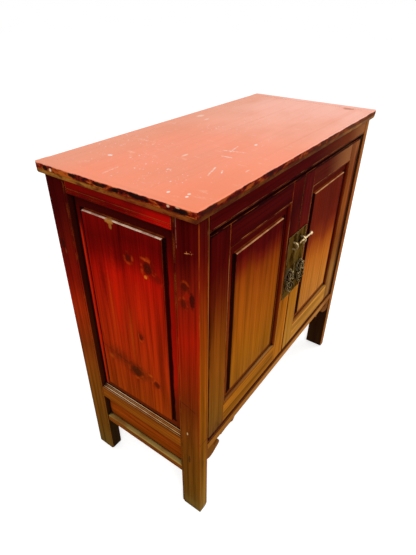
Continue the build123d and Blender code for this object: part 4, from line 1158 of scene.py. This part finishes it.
forward = Vector((
    -math.sin(AZIMUTH) * math.cos(ELEVATION),
    math.cos(AZIMUTH) * math.cos(ELEVATION),
    -math.sin(ELEVATION),
))
level_right = forward.cross(Vector((0, 0, 1))).normalized()
level_up = level_right.cross(forward)
right = level_right * math.cos(ROLL) + level_up * math.sin(ROLL)
up = level_up * math.cos(ROLL) - level_right * math.sin(ROLL)
turn = Matrix((right, up, -forward)).transposed().to_4x4()

camera_data = bpy.data.cameras.new("camera")
camera_data.sensor_width = SENSOR
camera_data.lens = FOCAL * SENSOR / PICTURE_HEIGHT
camera_data.clip_end = FARTHEST
camera = bpy.data.objects.new("camera", camera_data)
SCENE.collection.objects.link(camera)
camera.matrix_world = Matrix.Translation(CAMERA_PLACE) @ turn
SCENE.camera = camera

# ---- floor, world and lamps ---------------------------------------------------------------
FLOOR_REACH = 14
FLOOR_GREY = 0.75
FLOOR_GLOW = 0.55  # added where the camera sees the floor, so that it comes out white
WHITE = (1, 1, 1, 1)
WORLD_LIGHT = 0.62  # on the object; the world itself is seen at 1, which is white
LAMP_WIDTH = 2.4


def make_floor():
    """A large pale square at height 0, which keeps the cabinet's shadow."""
    mesh = bpy.data.meshes.new("floor")
    signs = ((-1, -1), (1, -1), (1, 1), (-1, 1))
    corners = [(x * FLOOR_REACH, y * FLOOR_REACH, 0) for x, y in signs]
    mesh.from_pydata(corners, [], [(0, 1, 2, 3)])
    floor = bpy.data.objects.new("floor", mesh)
    SCENE.collection.objects.link(floor)
    f = Finish("pale floor")
    f.feed(f.bsdf.inputs["Emission Strength"], f.times(f.seen(), FLOOR_GLOW))
    f.bsdf.inputs["Emission Color"].default_value = WHITE
    mesh.materials.append(f.finish((FLOOR_GREY,) * 3 + (1,), roughness=0.9, specular=0.0))


def make_world():
    """Even white light, softer on the object than it looks."""
    world = bpy.data.worlds.new("studio")
    SCENE.world = world
    world.use_nodes = True
    sky = Nodes(world.node_tree)
    background = sky.tree.nodes["Background"]
    background.inputs["Color"].default_value = WHITE
    level = sky.remap(sky.seen(), 0.0, 1.0, WORLD_LIGHT, 1.0)
    sky.feed(background.inputs["Strength"], level)


def area_lamp(name, place, target, power):
    data = bpy.data.lights.new(name, "AREA")
    data.shape = "DISK"
    data.size = LAMP_WIDTH
    data.energy = power
    lamp = bpy.data.objects.new(name, data)
    lamp.location = place
    lamp.rotation_euler = (Vector(target) - Vector(place)).to_track_quat("-Z", "Y").to_euler()
    SCENE.collection.objects.link(lamp)


make_floor()
make_world()
area_lamp("key", (-2.6, -2.6, 3.2), (0, 0, 0.4), power=90)
area_lamp("fill", (2.8, -1.6, 2.2), (0, 0, 0.5), power=30)
